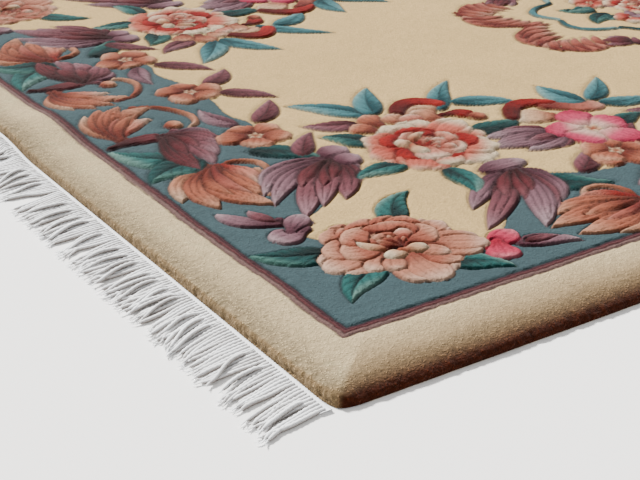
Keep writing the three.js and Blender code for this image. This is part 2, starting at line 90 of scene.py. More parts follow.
@dataclass(frozen=True)
class Shades:
    """Three tones of one dyed wool, from the root of a motif to its tip, as screen colours."""

    root: tuple[int, int, int]
    body: tuple[int, int, int]
    tip: tuple[int, int, int]

    def ramp(self, t: Array) -> Array:
        """Returns the linear colours at shares t of the way from root to tip."""
        root, body, tip = (linear(tone) for tone in (self.root, self.body, self.tip))
        early = ease(t / 0.5)[:, None]
        late = ease((t - 0.5) / 0.5)[:, None]
        return root + (body - root) * early + (tip - body) * late


class Dye(Enum):
    """The wools of the rug's motifs."""

    PEACH = Shades((118, 44, 30), (184, 104, 78), (226, 164, 132))
    APRICOT = Shades((150, 72, 52), (208, 140, 108), (238, 196, 164))
    CORAL = Shades((124, 44, 34), (182, 102, 80), (224, 164, 136))
    MELON = Shades((144, 64, 50), (206, 136, 110), (238, 196, 170))
    ROSE = Shades((170, 6, 4), (218, 112, 92), (246, 222, 188))
    SALMON = Shades((128, 46, 40), (182, 100, 84), (220, 158, 136))
    RED = Shades((92, 0, 0), (150, 8, 6), (180, 36, 28))
    PINK = Shades((176, 20, 56), (216, 66, 98), (238, 132, 148))
    STAR = Shades((246, 204, 186), (218, 78, 112), (192, 38, 80))
    BLUSH = Shades((160, 30, 22), (216, 138, 116), (242, 206, 180))
    IVORY = Shades((178, 92, 66), (226, 180, 142), (246, 226, 194))
    MAUVE = Shades((78, 22, 32), (130, 74, 84), (178, 134, 144))
    WINE = Shades((62, 12, 20), (106, 40, 48), (148, 88, 96))
    LILAC = Shades((96, 52, 66), (146, 106, 118), (190, 160, 168))
    GREEN = Shades((2, 44, 46), (44, 108, 106), (150, 192, 180))
    PINE = Shades((0, 34, 36), (22, 78, 78), (112, 166, 154))
    TEAL = Shades((14, 70, 78), (80, 138, 146), (160, 200, 196))


class Ground(Enum):
    """The plain wools, the painted shade on the pile's rolled edges, and the floor, as screen colours."""

    BORDER = (255, 229, 180)
    FIELD = (248, 210, 144)
    BAND = (74, 99, 106)
    GUARD_OUTER = (140, 108, 104)
    GUARD_RED = (108, 58, 62)
    GUARD_PLUM = (84, 40, 52)
    # The end wall, shoulder and side wall tones are painted shade on the rolled edges, where they slope
    # away from the key light or meet the floor.
    END_WALL_SHADE = (208, 172, 124)
    SHOULDER_SHADE = (146, 108, 68)
    SIDE_WALL_SHADE = (104, 42, 12)
    FLOOR = (253, 253, 253)


class Form(Enum):
    """How a blade's width changes from its root to its tip."""

    LEAF = "leaf"
    PETAL = "petal"
    FROND = "frond"
    RIBBON = "ribbon"
    PAD = "pad"


def round_end(t: Array, start: float, power: float = 0.5) -> Array:
    """Returns a width that falls from 1 at a start to 0 at the tip, round or blunt by its power."""
    return np.clip(1.0 - (np.clip(t - start, 0.0, 1.0) / (1.0 - start)) ** 2, 0.0, 1.0) ** power


def form_width(form: Form, t: Array) -> Array:
    """Gives a blade's width, as a share of its widest.

    Args:
        form: The blade's form.
        t: Shares of the way from root to tip.

    Returns:
        The shares of the full width.
    """
    if form is Form.LEAF:
        foot = np.sqrt(np.clip(1.0 - (1.0 - t / 0.38) ** 2, 0.0, 1.0))
        return np.where(t < 0.38, foot, 1.0 - (np.clip(t - 0.38, 0.0, 1.0) / 0.62) ** 1.6)
    if form is Form.PETAL:
        return np.where(t < 0.6, 0.42 + 0.58 * ease(t / 0.6), round_end(t, 0.6))
    if form is Form.FROND:
        return np.where(t < 0.5, 0.42 + 0.58 * ease(t / 0.5), round_end(t, 0.5, 0.94))
    if form is Form.RIBBON:
        return (0.62 + 0.38 * np.sin(math.pi * np.clip(t * 0.9 + 0.05, 0.0, 1.0))) * round_end(t, 0.94)
    return np.sqrt(np.clip(1.0 - (2.0 * t - 1.0) ** 2, 0.0, 1.0))


FORM_STEPS = np.linspace(0.0, 1.0, 101)
FORM_TABLES = {form: form_width(form, FORM_STEPS) for form in Form}
FORM_SLOPES = {form: np.gradient(table, FORM_STEPS) for form, table in FORM_TABLES.items()}
BARB_WIDTH = 11.0
QUARTERS = ((1, 1), (1, -1), (-1, 1), (-1, -1))
WARM_SHADOW = (1.0, 1.1, 1.18)


class GuardLine(NamedTuple):
    """One carved line of the guard stripes: its distance in, half width, depth and the strength of its
    painted shade.
    """

    place: float
    width: float
    depth: float
    dark: float


GUARD_LINES = (GuardLine(0.0, 3.4, 1.9, 0.46), GuardLine(7.5, 2.4, 1.3, 0.5),
               GuardLine(13.5, 2.2, 1.2, 0.42), GuardLine(18.5, 3.2, 2.2, 0.6))


@dataclass(frozen=True)
class Blade:
    """One carved piece of a motif: a leaf, petal, frond, ribbon or pad along a smooth middle line.

    Attributes:
        line: Points of the middle line, from root to tip.
        width: Widest width.
        form: How the width changes along the line.
        dye: The wool.
        level: Height of the blade's edge above the field.
        rise: Height of its pillow above that edge.
        veined: Whether it has a carved midrib, side veins and two tones.
        strokes: Depth of the fine carved lines along it.
        carve: Strength of the carved line round it.
        fade: Shift of the colours towards the tip's tone.
    """

    line: tuple[Point, ...]
    width: float
    form: Form
    dye: Dye
    level: float = 0.0
    rise: float = 3.2
    veined: bool = False
    strokes: float = 0.0
    carve: float = 1.0
    fade: float = 0.0

    def placed(self, move: Callable[[Point], Point]) -> Blade:
        """Returns the blade with every point of its line moved."""
        return replace(self, line=tuple(move(point) for point in self.line))

    def blades(self) -> list[Blade]:
        """Returns the blade alone, so that it can be a motif by itself."""
        return [self]

    def length(self) -> float:
        """Returns the length of the middle line."""
        points = np.array(self.line)
        return float(np.hypot(*np.diff(points, axis=0).T).sum())

    def locate(self, x: Array, y: Array) -> tuple[Array, Array, Array]:
        """Finds where points lie on the blade.

        Args:
            x: Plan positions along the rug.
            y: Plan positions across it.

        Returns:
            The share of the way to the tip, the signed distance from the middle line and the distance
            from the outline, which is negative inside.
        """
        points = np.array(self.line)
        starts = points[:-1]
        steps = np.diff(points, axis=0)
        rel_x = x[:, None] - starts[:, 0]
        rel_y = y[:, None] - starts[:, 1]
        share = (rel_x * steps[:, 0] + rel_y * steps[:, 1]) / (steps ** 2).sum(axis=1)
        share = np.clip(share, 0.0, 1.0)
        off_x = rel_x - share * steps[:, 0]
        off_y = rel_y - share * steps[:, 1]
        far = off_x ** 2 + off_y ** 2
        nearest = far.argmin(axis=1)
        row = np.arange(len(x))
        off = np.sqrt(far[row, nearest])
        t = (nearest + share[row, nearest]) / len(steps)
        turn = steps[nearest, 0] * off_y[row, nearest] - steps[nearest, 1] * off_x[row, nearest]
        half = 0.5 * self.width * np.interp(t, FORM_STEPS, FORM_TABLES[self.form])
        slope = 0.5 * self.width / self.length() * np.interp(t, FORM_STEPS, FORM_SLOPES[self.form])
        gap = (off - half) / np.sqrt(1.0 + np.minimum(slope ** 2, 3.0))
        return t, np.where(turn < 0, -off, off), gap

    def lines(self, spacing: float, sides: Sequence[float]) -> Array:
        """Samples lines along the blade.

        Args:
            spacing: Distance between samples.
            sides: Where each line runs, as shares of the half width from the middle line.

        Returns:
            The samples, one x and y a row.
        """
        points = np.array(self.line)
        t = np.linspace(0.0, 1.0, max(4, int(self.length() / spacing)))
        at = t * (len(points) - 1)
        x = np.interp(at, np.arange(len(points)), points[:, 0])
        y = np.interp(at, np.arange(len(points)), points[:, 1])
        heading = np.arctan2(np.gradient(y), np.gradient(x))
        half = 0.5 * self.width * np.interp(t, FORM_STEPS, FORM_TABLES[self.form])
        rows = [np.stack([x - s * half * np.sin(heading), y + s * half * np.cos(heading)], axis=1)
                for s in sides]
        if self.form in (Form.PAD, Form.PETAL, Form.FROND) and len(sides) > 1:
            rows.extend(np.linspace(a, b, 10) for a, b in zip(rows[0][-4:], rows[1][-4:]))
        return np.concatenate(rows)

    def edge_points(self, spacing: float) -> Array:
        """Samples the outline and, on a veined blade, the midrib."""
        return self.lines(spacing, (1.0, -1.0, 0.0) if self.veined else (1.0, -1.0))

    def stroke_points(self, spacing: float) -> Array:
        """Samples the fine carved lines inside the blade, or its side veins.

        Args:
            spacing: Distance between samples.

        Returns:
            The samples, one x and y a row.
        """
        if self.veined:
            return self.lines(spacing, (-0.66, -0.33, 0.33, 0.66))
        if not self.strokes:
            return np.empty((0, 2))
        barbs = self.barbs()
        return self.lines(spacing, [2.0 * k / barbs - 1.0 for k in range(1, barbs)])

    def barbs(self) -> int:
        """Returns how many barbs the fine carved lines part the blade into."""
        return max(2, round(self.width / BARB_WIDTH))


def bent_line(start: Point, end: Point, bend: float, count: int = 9) -> tuple[Point, ...]:
    """Makes a smooth line between two points.

    Args:
        start: First point.
        end: Last point.
        bend: Sideways bow of the line, as a share of its length, to the left when positive.
        count: Number of points.

    Returns:
        The points of the line.
    """
    (x0, y0), (x1, y1) = start, end
    t = np.linspace(0.0, 1.0, count)
    bow = 4.0 * t * (1.0 - t) * bend
    x = x0 + (x1 - x0) * t - (y1 - y0) * bow
    y = y0 + (y1 - y0) * t + (x1 - x0) * bow
    return tuple(zip(x.tolist(), y.tolist()))


def polar(centre: Point, angle: float, reach: float) -> Point:
    """Returns the point at an angle in degrees and a distance from a centre."""
    turn = math.radians(angle)
    return centre[0] + reach * math.cos(turn), centre[1] + reach * math.sin(turn)


def pad(centre: Point, radius: float, dye: Dye, level: float = 0.0, rise: float = 3.2) -> Blade:
    """Returns a round pad of wool."""
    line = bent_line((centre[0] - radius, centre[1]), (centre[0] + radius, centre[1]), 0.0, 5)
    return Blade(line, 2.0 * radius, Form.PAD, dye, level, rise)


@dataclass(frozen=True)
class Leaf:
    """A pointed leaf with a carved midrib."""

    u0: float
    v0: float
    u1: float
    v1: float
    width: float
    dye: Dye
    bend: float = 0.08

    def blades(self) -> list[Blade]:
        """Returns the leaf's one veined blade."""
        line = bent_line((self.u0, self.v0), (self.u1, self.v1), self.bend)
        return [Blade(line, self.width, Form.LEAF, self.dye, rise=2.9, veined=True)]


@dataclass(frozen=True)
class Petal:
    """A single free petal, blade or arched ribbon."""

    u0: float
    v0: float
    u1: float
    v1: float
    width: float
    dye: Dye
    form: Form = Form.PETAL
    bend: float = 0.0
    level: float = 0.0

    def blades(self) -> list[Blade]:
        """Returns the petal's one blade."""
        line = bent_line((self.u0, self.v0), (self.u1, self.v1), self.bend)
        return [Blade(line, self.width, self.form, self.dye, self.level, strokes=0.7)]


@dataclass(frozen=True)
class Blossom:
    """A small open flower: round petals about a middle."""

    u: float
    v: float
    radius: float
    petals: int
    turn: float
    dye: Dye
    heart: Dye = Dye.IVORY
    slim: float = 0.8

    def blades(self) -> list[Blade]:
        """Returns the petals and then the middle."""
        centre = (self.u, self.v)
        wide = 2.05 * self.radius * math.sin(math.pi / self.petals) * self.slim
        made = []
        for k in range(self.petals):
            angle = self.turn + 360.0 * k / self.petals + 7.0 * math.sin(2.1 * k)
            reach = self.radius * (1.0 + 0.12 * math.sin(2.3 * k + self.turn))
            line = bent_line(polar(centre, angle, 0.12 * self.radius), polar(centre, angle, reach), 0.07)
            made.append(Blade(line, wide, Form.PETAL, self.dye, 0.2, 3.4, strokes=0.6,
                              fade=0.14 * math.cos(k * 1.9)))
        for k in range(self.petals):
            angle = self.turn + 360.0 * (k + 0.5) / self.petals
            line = bent_line(centre, polar(centre, angle, 0.22 * self.radius), 0.0, 4)
            made.append(Blade(line, 0.15 * self.radius, Form.PETAL, self.heart, 1.2, 1.0, carve=0.6))
        return made


@dataclass(frozen=True)
class RosePetal:
    """One petal of a rose: the way it points, its start and reach as shares of the radius, its width.

    Attributes:
        level: Height of its edge above the field.
        lobes: One, or three that share its width.
        pale: Shift of its colours towards the tip's tone.
    """

    angle: float
    start: float
    reach: float
    width: float
    dye: Dye
    level: float = 0.0
    lobes: int = 1
    pale: float = 0.0

    def blades(self, centre: Point, radius: float) -> list[Blade]:
        """Makes the petal's lobes, the middle one last.

        Args:
            centre: The rose's middle.
            radius: The rose's radius.

        Returns:
            One blade for each lobe.
        """
        sway = math.sin(self.angle * 0.71)
        foot = self.start * radius
        tip = self.reach * radius
        if self.lobes == 1:
            root = polar(centre, self.angle - 5 * sway, foot)
            line = bent_line(root, polar(centre, self.angle, tip), 0.06 * sway)
            return [Blade(line, self.width, Form.PETAL, self.dye, self.level, strokes=0.5,
                          fade=0.1 * sway + self.pale)]
        made = []
        step = math.degrees(0.27 * self.width / tip)
        for share, far in ((-1.0, 0.91 + 0.04 * sway), (1.0, 0.93 - 0.05 * sway), (0.0, 1.0)):
            angle = self.angle + share * step
            line = bent_line(polar(centre, angle + 4 * share, foot), polar(centre, angle, far * tip),
                             0.05 * share)
            made.append(Blade(line, 0.7 * self.width, Form.PETAL, self.dye, self.level, strokes=0.5,
                              carve=1.1 if share < 0 else 0.5, fade=0.08 * sway - 0.04 + self.pale))
        return made


def petal_ring(start: float, reach: float, count: int, width: float, turn: float, dye: Dye,
               level: float) -> tuple[RosePetal, ...]:
    """Returns an even ring of a rose's petals, every other one over its neighbours."""
    order = [*range(0, count, 2), *range(1, count, 2)]
    return tuple(RosePetal(turn + 360.0 * k / count, start, reach * (1.0 + 0.1 * math.sin(2.7 * k + turn)),
                           width * (1.0 + 0.12 * math.cos(1.7 * k)), dye, level) for k in order)


@dataclass(frozen=True)
class Rose:
    """A full blown rose: petals laid one over the other, and a cupped heart."""

    u: float
    v: float
    radius: float
    petals: tuple[RosePetal, ...]
    cup: Dye
    heart: Dye
    turn: float = 0.0

    def blades(self) -> list[Blade]:
        """Returns the petals from the outermost to the heart."""
        centre = (self.u, self.v)
        made = []
        for petal in self.petals:
            made.extend(petal.blades(centre, self.radius))
        made.extend(self.heart_blades())
        return made

    def heart_line(self, foot: Point, tip: Point, bend: float) -> tuple[Point, ...]:
        """Returns a line between two places, each an angle in degrees and a share of the radius."""
        centre = (self.u, self.v)
        ends = [polar(centre, angle + self.turn, share * self.radius) for angle, share in (foot, tip)]
        return bent_line(*ends, bend)

    def heart_blades(self) -> list[Blade]:
        """Returns the cupped petals round the middle and the fine ones in it."""
        rows = [
            ((168, 0.38), (96, 0.36), -0.3, 0.24, Form.PETAL, self.heart, 1.9, 2.4, 0.1),
            ((40, 0.42), (112, 0.3), 0.2, 0.26, Form.PETAL, self.heart, 2.0, 2.4, 0.0),
            ((8, 0.2), (44, 0.44), -0.1, 0.26, Form.PETAL, Dye.BLUSH, 2.3, 2.6, 0.1),
            ((214, 0.2), (144, 0.46), 0.14, 0.2, Form.LEAF, self.cup, 2.4, 2.8, 0.1),
            ((286, 0.22), (222, 0.44), 0.1, 0.28, Form.PETAL, self.cup, 2.6, 2.8, 0.1),
            ((258, 0.24), (322, 0.42), -0.1, 0.28, Form.PETAL, self.cup, 2.7, 2.8, 0.06),
        ]
        for k in range(6):
            foot, tip = (286 + 10 * k, 0.13), (158 - 27 * k, 0.17 + 0.04 * (k % 2))
            rows.append((foot, tip, 0.16 - 0.07 * k, 0.085, Form.PETAL, self.heart, 2.5, 1.9,
                         -0.35 + 0.4 * (k % 2)))
        return [Blade(self.heart_line(foot, tip, bend), wide * self.radius, form, dye, level, rise,
                      fade=fade) for foot, tip, bend, wide, form, dye, level, rise, fade in rows]


class Tip(NamedTuple):
    """Where one blade of a plume ends, how wide and how bent it is, and its wool."""

    u: float
    v: float
    width: float
    bend: float
    dye: Dye


@dataclass(frozen=True)
class Plume:
    """Long blades out of one root, packed side by side like a torn leaf, then shorter ones on top."""

    u: float
    v: float
    tips: tuple[Tip, ...]
    over: tuple[Tip, ...] = ()
    spread: float = 18.0
    fullness: float = 1.2

    def blades(self) -> list[Blade]:
        """Returns the blades from the outer ones inwards, and last those that lie on top."""
        middle = (len(self.tips) - 1) / 2
        order = sorted(range(len(self.tips)), key=lambda k: -abs(k - middle))
        made = [self.blade(self.tips[k], (k - middle) / max(middle, 1.0), 0.2 + 0.1 * place, 1.1)
                for place, k in enumerate(order)]
        for k, tip in enumerate(self.over):
            made.append(self.blade(tip, 0.3 * (k - 0.5 * len(self.over)), 1.5, 0.5))
        return made

    def blade(self, tip: Tip, share: float, level: float, strokes: float) -> Blade:
        """Makes the blade to one tip.

        Args:
            tip: The tip.
            share: How far its foot sits aside of the root, as a share of half the spread.
            level: Height of its edge above the field.
            strokes: Depth of the fine carved lines along it.

        Returns:
            The blade.
        """
        heading = math.atan2(tip.v - self.v, tip.u - self.u)
        aside = 0.5 * self.spread * share
        foot = (self.u - aside * math.sin(heading), self.v + aside * math.cos(heading))
        line = bent_line(foot, (tip.u, tip.v), tip.bend)
        return Blade(line, self.fullness * tip.width, Form.FROND, tip.dye, level, 3.0, strokes=strokes,
                     fade=0.12 * math.sin(tip.u * 0.05) - 0.06)


@dataclass(frozen=True)
class Tendril:
    """A scroll's tail: a thinning ribbon out of a plume's shoulder that curls in on a round drop."""

    points: tuple[Point, ...]
    drop: Point
    width: float = 13.0
    dye: Dye = Dye.APRICOT

    def blades(self) -> list[Blade]:
        """Returns the ribbon and the drop."""
        line = smooth_path(np.array(self.points, float), 3)
        return [
            Blade(tuple(map(tuple, line.tolist())), self.width, Form.RIBBON, self.dye, 0.5, 2.8, fade=-0.1),
            pad(self.drop, 1.15 * self.width, self.dye, 0.8),
        ]


@dataclass(frozen=True)
class CombedArc:
    """An arched acanthus: a ribbon along an arc, with lobes that lean inward from it."""

    u0: float
    v0: float
    u1: float
    v1: float
    bend: float
    width: float
    lobes: int
    lean: float
    dye: Dye
    rim: Dye

    def blades(self) -> list[Blade]:
        """Returns the ribbon and then its lobes."""
        line = bent_line((self.u0, self.v0), (self.u1, self.v1), self.bend, 13)
        made = [Blade(line, self.width, Form.FROND, self.rim, 0.1, 2.6)]
        points = np.array(line)
        chord = math.degrees(math.atan2(self.v1 - self.v0, self.u1 - self.u0))
        for k in range(self.lobes):
            at = (0.06 + 0.86 * k / max(1, self.lobes - 1)) * (len(points) - 1)
            foot = tuple(float(np.interp(at, np.arange(len(points)), points[:, axis]))
                         for axis in (0, 1))
            swing = chord - math.copysign(1.0, self.bend) * (self.lean + 20.0 * (k / self.lobes - 0.5))
            foot = polar(foot, swing, -0.3 * self.width)
            tip = polar(foot, swing, self.width * (1.5 - 0.5 * abs(k / self.lobes - 0.5)))
            made.append(Blade(bent_line(foot, tip, 0.12), self.width * 0.4, Form.FROND, self.dye, 0.7, 2.8,
                              strokes=0.8, fade=0.16 * (k % 2)))
        return made


Motif = Union[Leaf, Petal, Blossom, Rose, Plume, Tendril, CombedArc, Blade]
Motifs = tuple[Motif, ...]

# The peach rose in the corner.
CORNER_ROSE = Rose(186, 162, 99, (
    RosePetal(134, 0.3, 0.96, 74, Dye.CORAL, 0.0, 3),
    RosePetal(84, 0.3, 0.8, 96, Dye.CORAL, 0.0, 3),
    RosePetal(10, 0.3, 0.98, 60, Dye.MELON, 0.0, 3),
    RosePetal(42, 0.3, 0.86, 72, Dye.CORAL, 0.1, 3),
    RosePetal(189, 0.3, 1.16, 66, Dye.MELON, 0.1, 3),
    RosePetal(162, 0.3, 0.94, 58, Dye.CORAL, 0.2),
    RosePetal(267, 0.3, 1.17, 78, Dye.MELON, 0.1, 3),
    RosePetal(296, 0.3, 0.98, 50, Dye.CORAL, 0.3),
    RosePetal(328, 0.28, 1.26, 64, Dye.MELON, 0.4, 3),
    RosePetal(216, 0.3, 0.88, 34, Dye.MELON, 0.6),
    RosePetal(238, 0.3, 0.8, 32, Dye.MELON, 0.6),
    RosePetal(306, 0.2, 0.78, 34, Dye.MELON, 0.8),
    RosePetal(170, 0.1, 0.72, 62, Dye.CORAL, 0.9),
    RosePetal(2, 0.1, 0.72, 66, Dye.CORAL, 0.9),
    RosePetal(118, 0.1, 0.66, 70, Dye.CORAL, 1.0),
    RosePetal(60, 0.1, 0.64, 74, Dye.CORAL, 1.1),
), Dye.IVORY, Dye.CORAL)
# The red rose further in, on the diagonal.
RED_ROSE = Rose(436, 416, 97, (
    RosePetal(182, 0.26, 1.08, 70, Dye.ROSE, 0.0, 3, -0.12),
    RosePetal(290, 0.26, 1.18, 66, Dye.ROSE, 0.0, 3, 0.26),
    RosePetal(354, 0.26, 1.06, 62, Dye.ROSE, 0.0, 3, -0.04),
    RosePetal(60, 0.3, 1.02, 74, Dye.ROSE, 0.0, 3, 0.34),
    RosePetal(228, 0.26, 1.12, 72, Dye.ROSE, 0.2, 3, -0.06),
    RosePetal(322, 0.26, 1.12, 64, Dye.ROSE, 0.3, 3, 0.1),
    RosePetal(24, 0.3, 1.22, 60, Dye.ROSE, 0.3, 3, 0.24),
    RosePetal(98, 0.3, 0.98, 66, Dye.ROSE, 0.3, 3, 0.3),
    RosePetal(138, 0.28, 1.02, 58, Dye.ROSE, 0.4, 3, 0.02),
    RosePetal(258, 0.26, 0.96, 50, Dye.ROSE, 0.4),
    RosePetal(72, 0.2, 0.68, 66, Dye.RED, 0.5),
    RosePetal(340, 0.2, 0.84, 56, Dye.RED, 0.5),
    RosePetal(136, 0.2, 0.72, 54, Dye.RED, 0.5),
    RosePetal(208, 0.2, 0.76, 52, Dye.RED, 0.5),
    RosePetal(282, 0.2, 0.7, 44, Dye.RED, 0.5),
    RosePetal(244, 0.1, 0.7, 56, Dye.BLUSH, 1.0, 1, 0.2),
    RosePetal(306, 0.1, 0.62, 56, Dye.BLUSH, 1.1, 1, 0.1),
    RosePetal(14, 0.1, 0.58, 50, Dye.BLUSH, 1.1),
    RosePetal(104, 0.1, 0.5, 44, Dye.BLUSH, 1.2),
    RosePetal(60, 0.1, 0.54, 34, Dye.RED, 1.2),
), Dye.IVORY, Dye.BLUSH, -88)

# The leaves and small flowers round the corner rose.
CORNER_LEAVES: Motifs = (
    Leaf(108, 184, 18, 232, 52, Dye.PINE, 0.1),
    Leaf(146, 118, 56, 62, 46, Dye.GREEN, -0.14),
    Leaf(206, 84, 276, 28, 46, Dye.GREEN, 0.12),
    Leaf(228, 206, 306, 288, 46, Dye.GREEN, 0.14),
    Petal(316, 76, 396, 38, 36, Dye.LILAC, Form.LEAF, 0.1),
    Petal(328, 72, 380, 64, 20, Dye.MAUVE, Form.LEAF, 0.05, 0.8),
    Petal(284, 88, 338, 108, 42, Dye.PINK),
    Petal(300, 92, 280, 50, 44, Dye.PINK),
    Petal(98, 288, 46, 364, 30, Dye.LILAC, Form.FROND, 0.12),
    Petal(108, 290, 84, 348, 22, Dye.MAUVE, Form.FROND, 0.1, 0.6),
    Petal(106, 300, 140, 268, 30, Dye.LILAC),
    Petal(118, 258, 64, 248, 48, Dye.LILAC),
    Petal(98, 260, 140, 296, 38, Dye.LILAC, Form.PETAL, 0.0, 0.6),
)

# The acanthus and scroll between the corner and the end's repeat.
END_SCROLLS: Motifs = (
    Leaf(196, 534, 270, 442, 52, Dye.PINE, 0.14),
    Leaf(252, 474, 322, 556, 38, Dye.MAUVE, 0.06),
    Tendril(((116, 492), (138, 511), (166, 509), (187, 490), (189, 464), (176, 446)), (164, 461)),
    Plume(122, 508, (
        Tip(46, 494, 34, 0.1, Dye.APRICOT), Tip(26, 420, 36, -0.12, Dye.APRICOT),
        Tip(62, 376, 42, -0.16, Dye.PEACH), Tip(132, 346, 42, -0.2, Dye.PEACH),
        Tip(146, 372, 32, -0.08, Dye.PEACH), Tip(144, 414, 40, 0.08, Dye.BLUSH),
    ), (Tip(96, 400, 20, -0.16, Dye.PEACH), Tip(122, 392, 18, -0.12, Dye.SALMON))),
    Plume(280, 440, (
        Tip(144, 414, 32, -0.14, Dye.LILAC), Tip(128, 380, 30, -0.12, Dye.LILAC),
        Tip(124, 344, 28, -0.1, Dye.LILAC), Tip(142, 288, 36, -0.05, Dye.MAUVE),
        Tip(180, 306, 30, 0.0, Dye.MAUVE), Tip(218, 308, 32, 0.06, Dye.MAUVE),
        Tip(248, 342, 30, 0.1, Dye.MAUVE), Tip(276, 386, 30, 0.12, Dye.LILAC),
    ), (Tip(186, 372, 20, -0.08, Dye.WINE), Tip(214, 358, 20, 0.0, Dye.WINE),
        Tip(238, 374, 16, 0.04, Dye.WINE))),
    pad((298, 464), 26, Dye.LILAC, 0.6),
    pad((300, 428), 22, Dye.LILAC, 0.8),
)

# The acanthus and scroll between the corner and the side's repeat.
SIDE_SCROLLS: Motifs = (
    Leaf(490, 232, 566, 156, 58, Dye.PINE, -0.14),
    Leaf(552, 206, 630, 280, 40, Dye.MAUVE, -0.06),
    Tendril(((530, 80), (550, 102), (552, 132), (536, 155), (510, 158), (494, 143)), (511, 133)),
    Plume(546, 86, (
        Tip(470, 138, 36, -0.12, Dye.BLUSH), Tip(411, 122, 38, -0.1, Dye.PEACH),
        Tip(386, 90, 38, -0.04, Dye.PEACH), Tip(402, 56, 38, 0.1, Dye.PEACH),
        Tip(450, 30, 36, 0.14, Dye.APRICOT), Tip(506, 24, 30, 0.14, Dye.APRICOT),
    ), (Tip(446, 92, 20, -0.06, Dye.PEACH), Tip(458, 66, 18, 0.08, Dye.SALMON))),
    Plume(478, 268, (
        Tip(372, 212, 28, -0.08, Dye.LILAC), Tip(338, 188, 30, -0.06, Dye.LILAC),
        Tip(354, 152, 30, -0.02, Dye.MAUVE), Tip(314, 128, 32, 0.02, Dye.MAUVE),
        Tip(384, 96, 36, 0.06, Dye.LILAC), Tip(420, 122, 32, 0.08, Dye.MAUVE),
        Tip(458, 148, 36, 0.12, Dye.LILAC), Tip(484, 204, 30, 0.14, Dye.LILAC),
    ), (Tip(400, 196, 20, -0.06, Dye.WINE), Tip(420, 176, 20, 0.0, Dye.WINE),
        Tip(444, 192, 16, 0.04, Dye.WINE))),
    Petal(430, 282, 514, 282, 42, Dye.LILAC, Form.PAD, 0.08, 0.6),
    Blossom(651, 235, 54, 5, 60, Dye.PEACH),
)

# The end's repeat, which the long side takes up turned about.
END_REPEAT: Motifs = (
    Leaf(120, 548, 20, 646, 66, Dye.GREEN, 0.12),
    Leaf(124, 534, 20, 504, 66, Dye.PINE, -0.14),
    Leaf(240, 640, 222, 736, 38, Dye.LILAC, 0.1),
    Leaf(270, 636, 346, 722, 42, Dye.MAUVE, -0.06),
    Tendril(((126, 792), (160, 780), (186, 750), (199, 716), (190, 687), (170, 675)), (156, 697)),
    Plume(62, 676, (
        Tip(48, 796, 36, 0.12, Dye.APRICOT), Tip(82, 810, 38, 0.12, Dye.PEACH),
        Tip(116, 808, 34, 0.14, Dye.PEACH), Tip(158, 780, 38, 0.22, Dye.PEACH),
        Tip(140, 736, 28, 0.16, Dye.BLUSH),
    ), (Tip(92, 762, 18, 0.12, Dye.SALMON), Tip(116, 760, 18, 0.14, Dye.PEACH))),
    Petal(30, 656, 156, 650, 34, Dye.WINE, Form.FROND, 0.1),
    Plume(130, 660, (
        Tip(102, 512, 36, -0.06, Dye.WINE), Tip(130, 520, 32, 0.1, Dye.MAUVE),
        Tip(154, 550, 32, 0.14, Dye.MAUVE), Tip(180, 584, 36, 0.16, Dye.MAUVE),
        Tip(190, 624, 34, 0.14, Dye.LILAC), Tip(164, 672, 28, -0.1, Dye.MAUVE),
    ), (Tip(114, 572, 20, 0.0, Dye.WINE), Tip(142, 588, 18, 0.1, Dye.WINE))),
    Blossom(240, 586, 54, 5, 22, Dye.PEACH),
)

# The flower on the end's middle line, with one of its two leaves.
MIDDLE_FLOWER: Motifs = (
    Leaf(290, 792, 364, 724, 44, Dye.MAUVE, 0.08),
    Blossom(249, 815, 54, 5, 2, Dye.PEACH),
)

# The leaves, buds and part flowers round the red rose.
INNER_SPRAYS: Motifs = (
    Leaf(364, 450, 316, 528, 54, Dye.PINE, -0.12),
    Leaf(362, 364, 268, 360, 46, Dye.GREEN, -0.1),
    Leaf(396, 324, 376, 230, 46, Dye.GREEN, 0.12),
    Leaf(402, 546, 318, 584, 46, Dye.MAUVE, 0.1),
    Leaf(434, 566, 346, 676, 54, Dye.TEAL, -0.06),
    Leaf(446, 562, 514, 682, 50, Dye.TEAL, 0.06),
    Leaf(546, 520, 654, 642, 42, Dye.TEAL, 0.06),
    Leaf(580, 540, 682, 480, 48, Dye.TEAL, 0.1),
    Leaf(520, 420, 628, 426, 56, Dye.PINE, -0.08),
    Petal(508, 500, 518, 590, 78, Dye.IVORY),
    Petal(478, 548, 566, 538, 38, Dye.RED, Form.RIBBON, 0.42, 0.6),
    Petal(520, 486, 500, 540, 48, Dye.APRICOT, Form.PETAL, 0.0, 0.6),
    Petal(404, 500, 384, 540, 50, Dye.PEACH),
    Petal(424, 516, 426, 568, 46, Dye.PEACH, Form.PETAL, 0.0, 0.3),
    Petal(454, 502, 462, 550, 44, Dye.APRICOT),
    Petal(476, 490, 484, 532, 42, Dye.BLUSH, Form.PETAL, 0.0, 0.5),
    Petal(532, 502, 576, 470, 36, Dye.RED, Form.PETAL, 0.2),
    pad((576, 468), 16, Dye.PEACH, 0.5),
    Plume(642, 336, (
        Tip(586, 298, 32, 0.08, Dye.MAUVE), Tip(544, 312, 38, 0.06, Dye.LILAC),
        Tip(504, 352, 44, 0.0, Dye.LILAC), Tip(522, 386, 36, -0.08, Dye.LILAC),
        Tip(566, 398, 30, -0.12, Dye.MAUVE),
    ), (Tip(568, 340, 20, 0.0, Dye.MAUVE),)),
    Petal(690, 396, 620, 438, 64, Dye.IVORY),
    Petal(618, 432, 728, 440, 36, Dye.RED, Form.RIBBON, 0.36, 0.7),
    Petal(696, 444, 784, 398, 56, Dye.SALMON),
    Leaf(766, 424, 756, 534, 54, Dye.TEAL, 0.08),
    Leaf(780, 428, 880, 514, 42, Dye.TEAL, -0.06),
    Leaf(784, 414, 886, 392, 46, Dye.TEAL, -0.1),
    Leaf(736, 324, 810, 338, 42, Dye.PINE, 0.08),
    Blossom(689, 328, 74, 5, 70, Dye.STAR, slim=0.74),
)

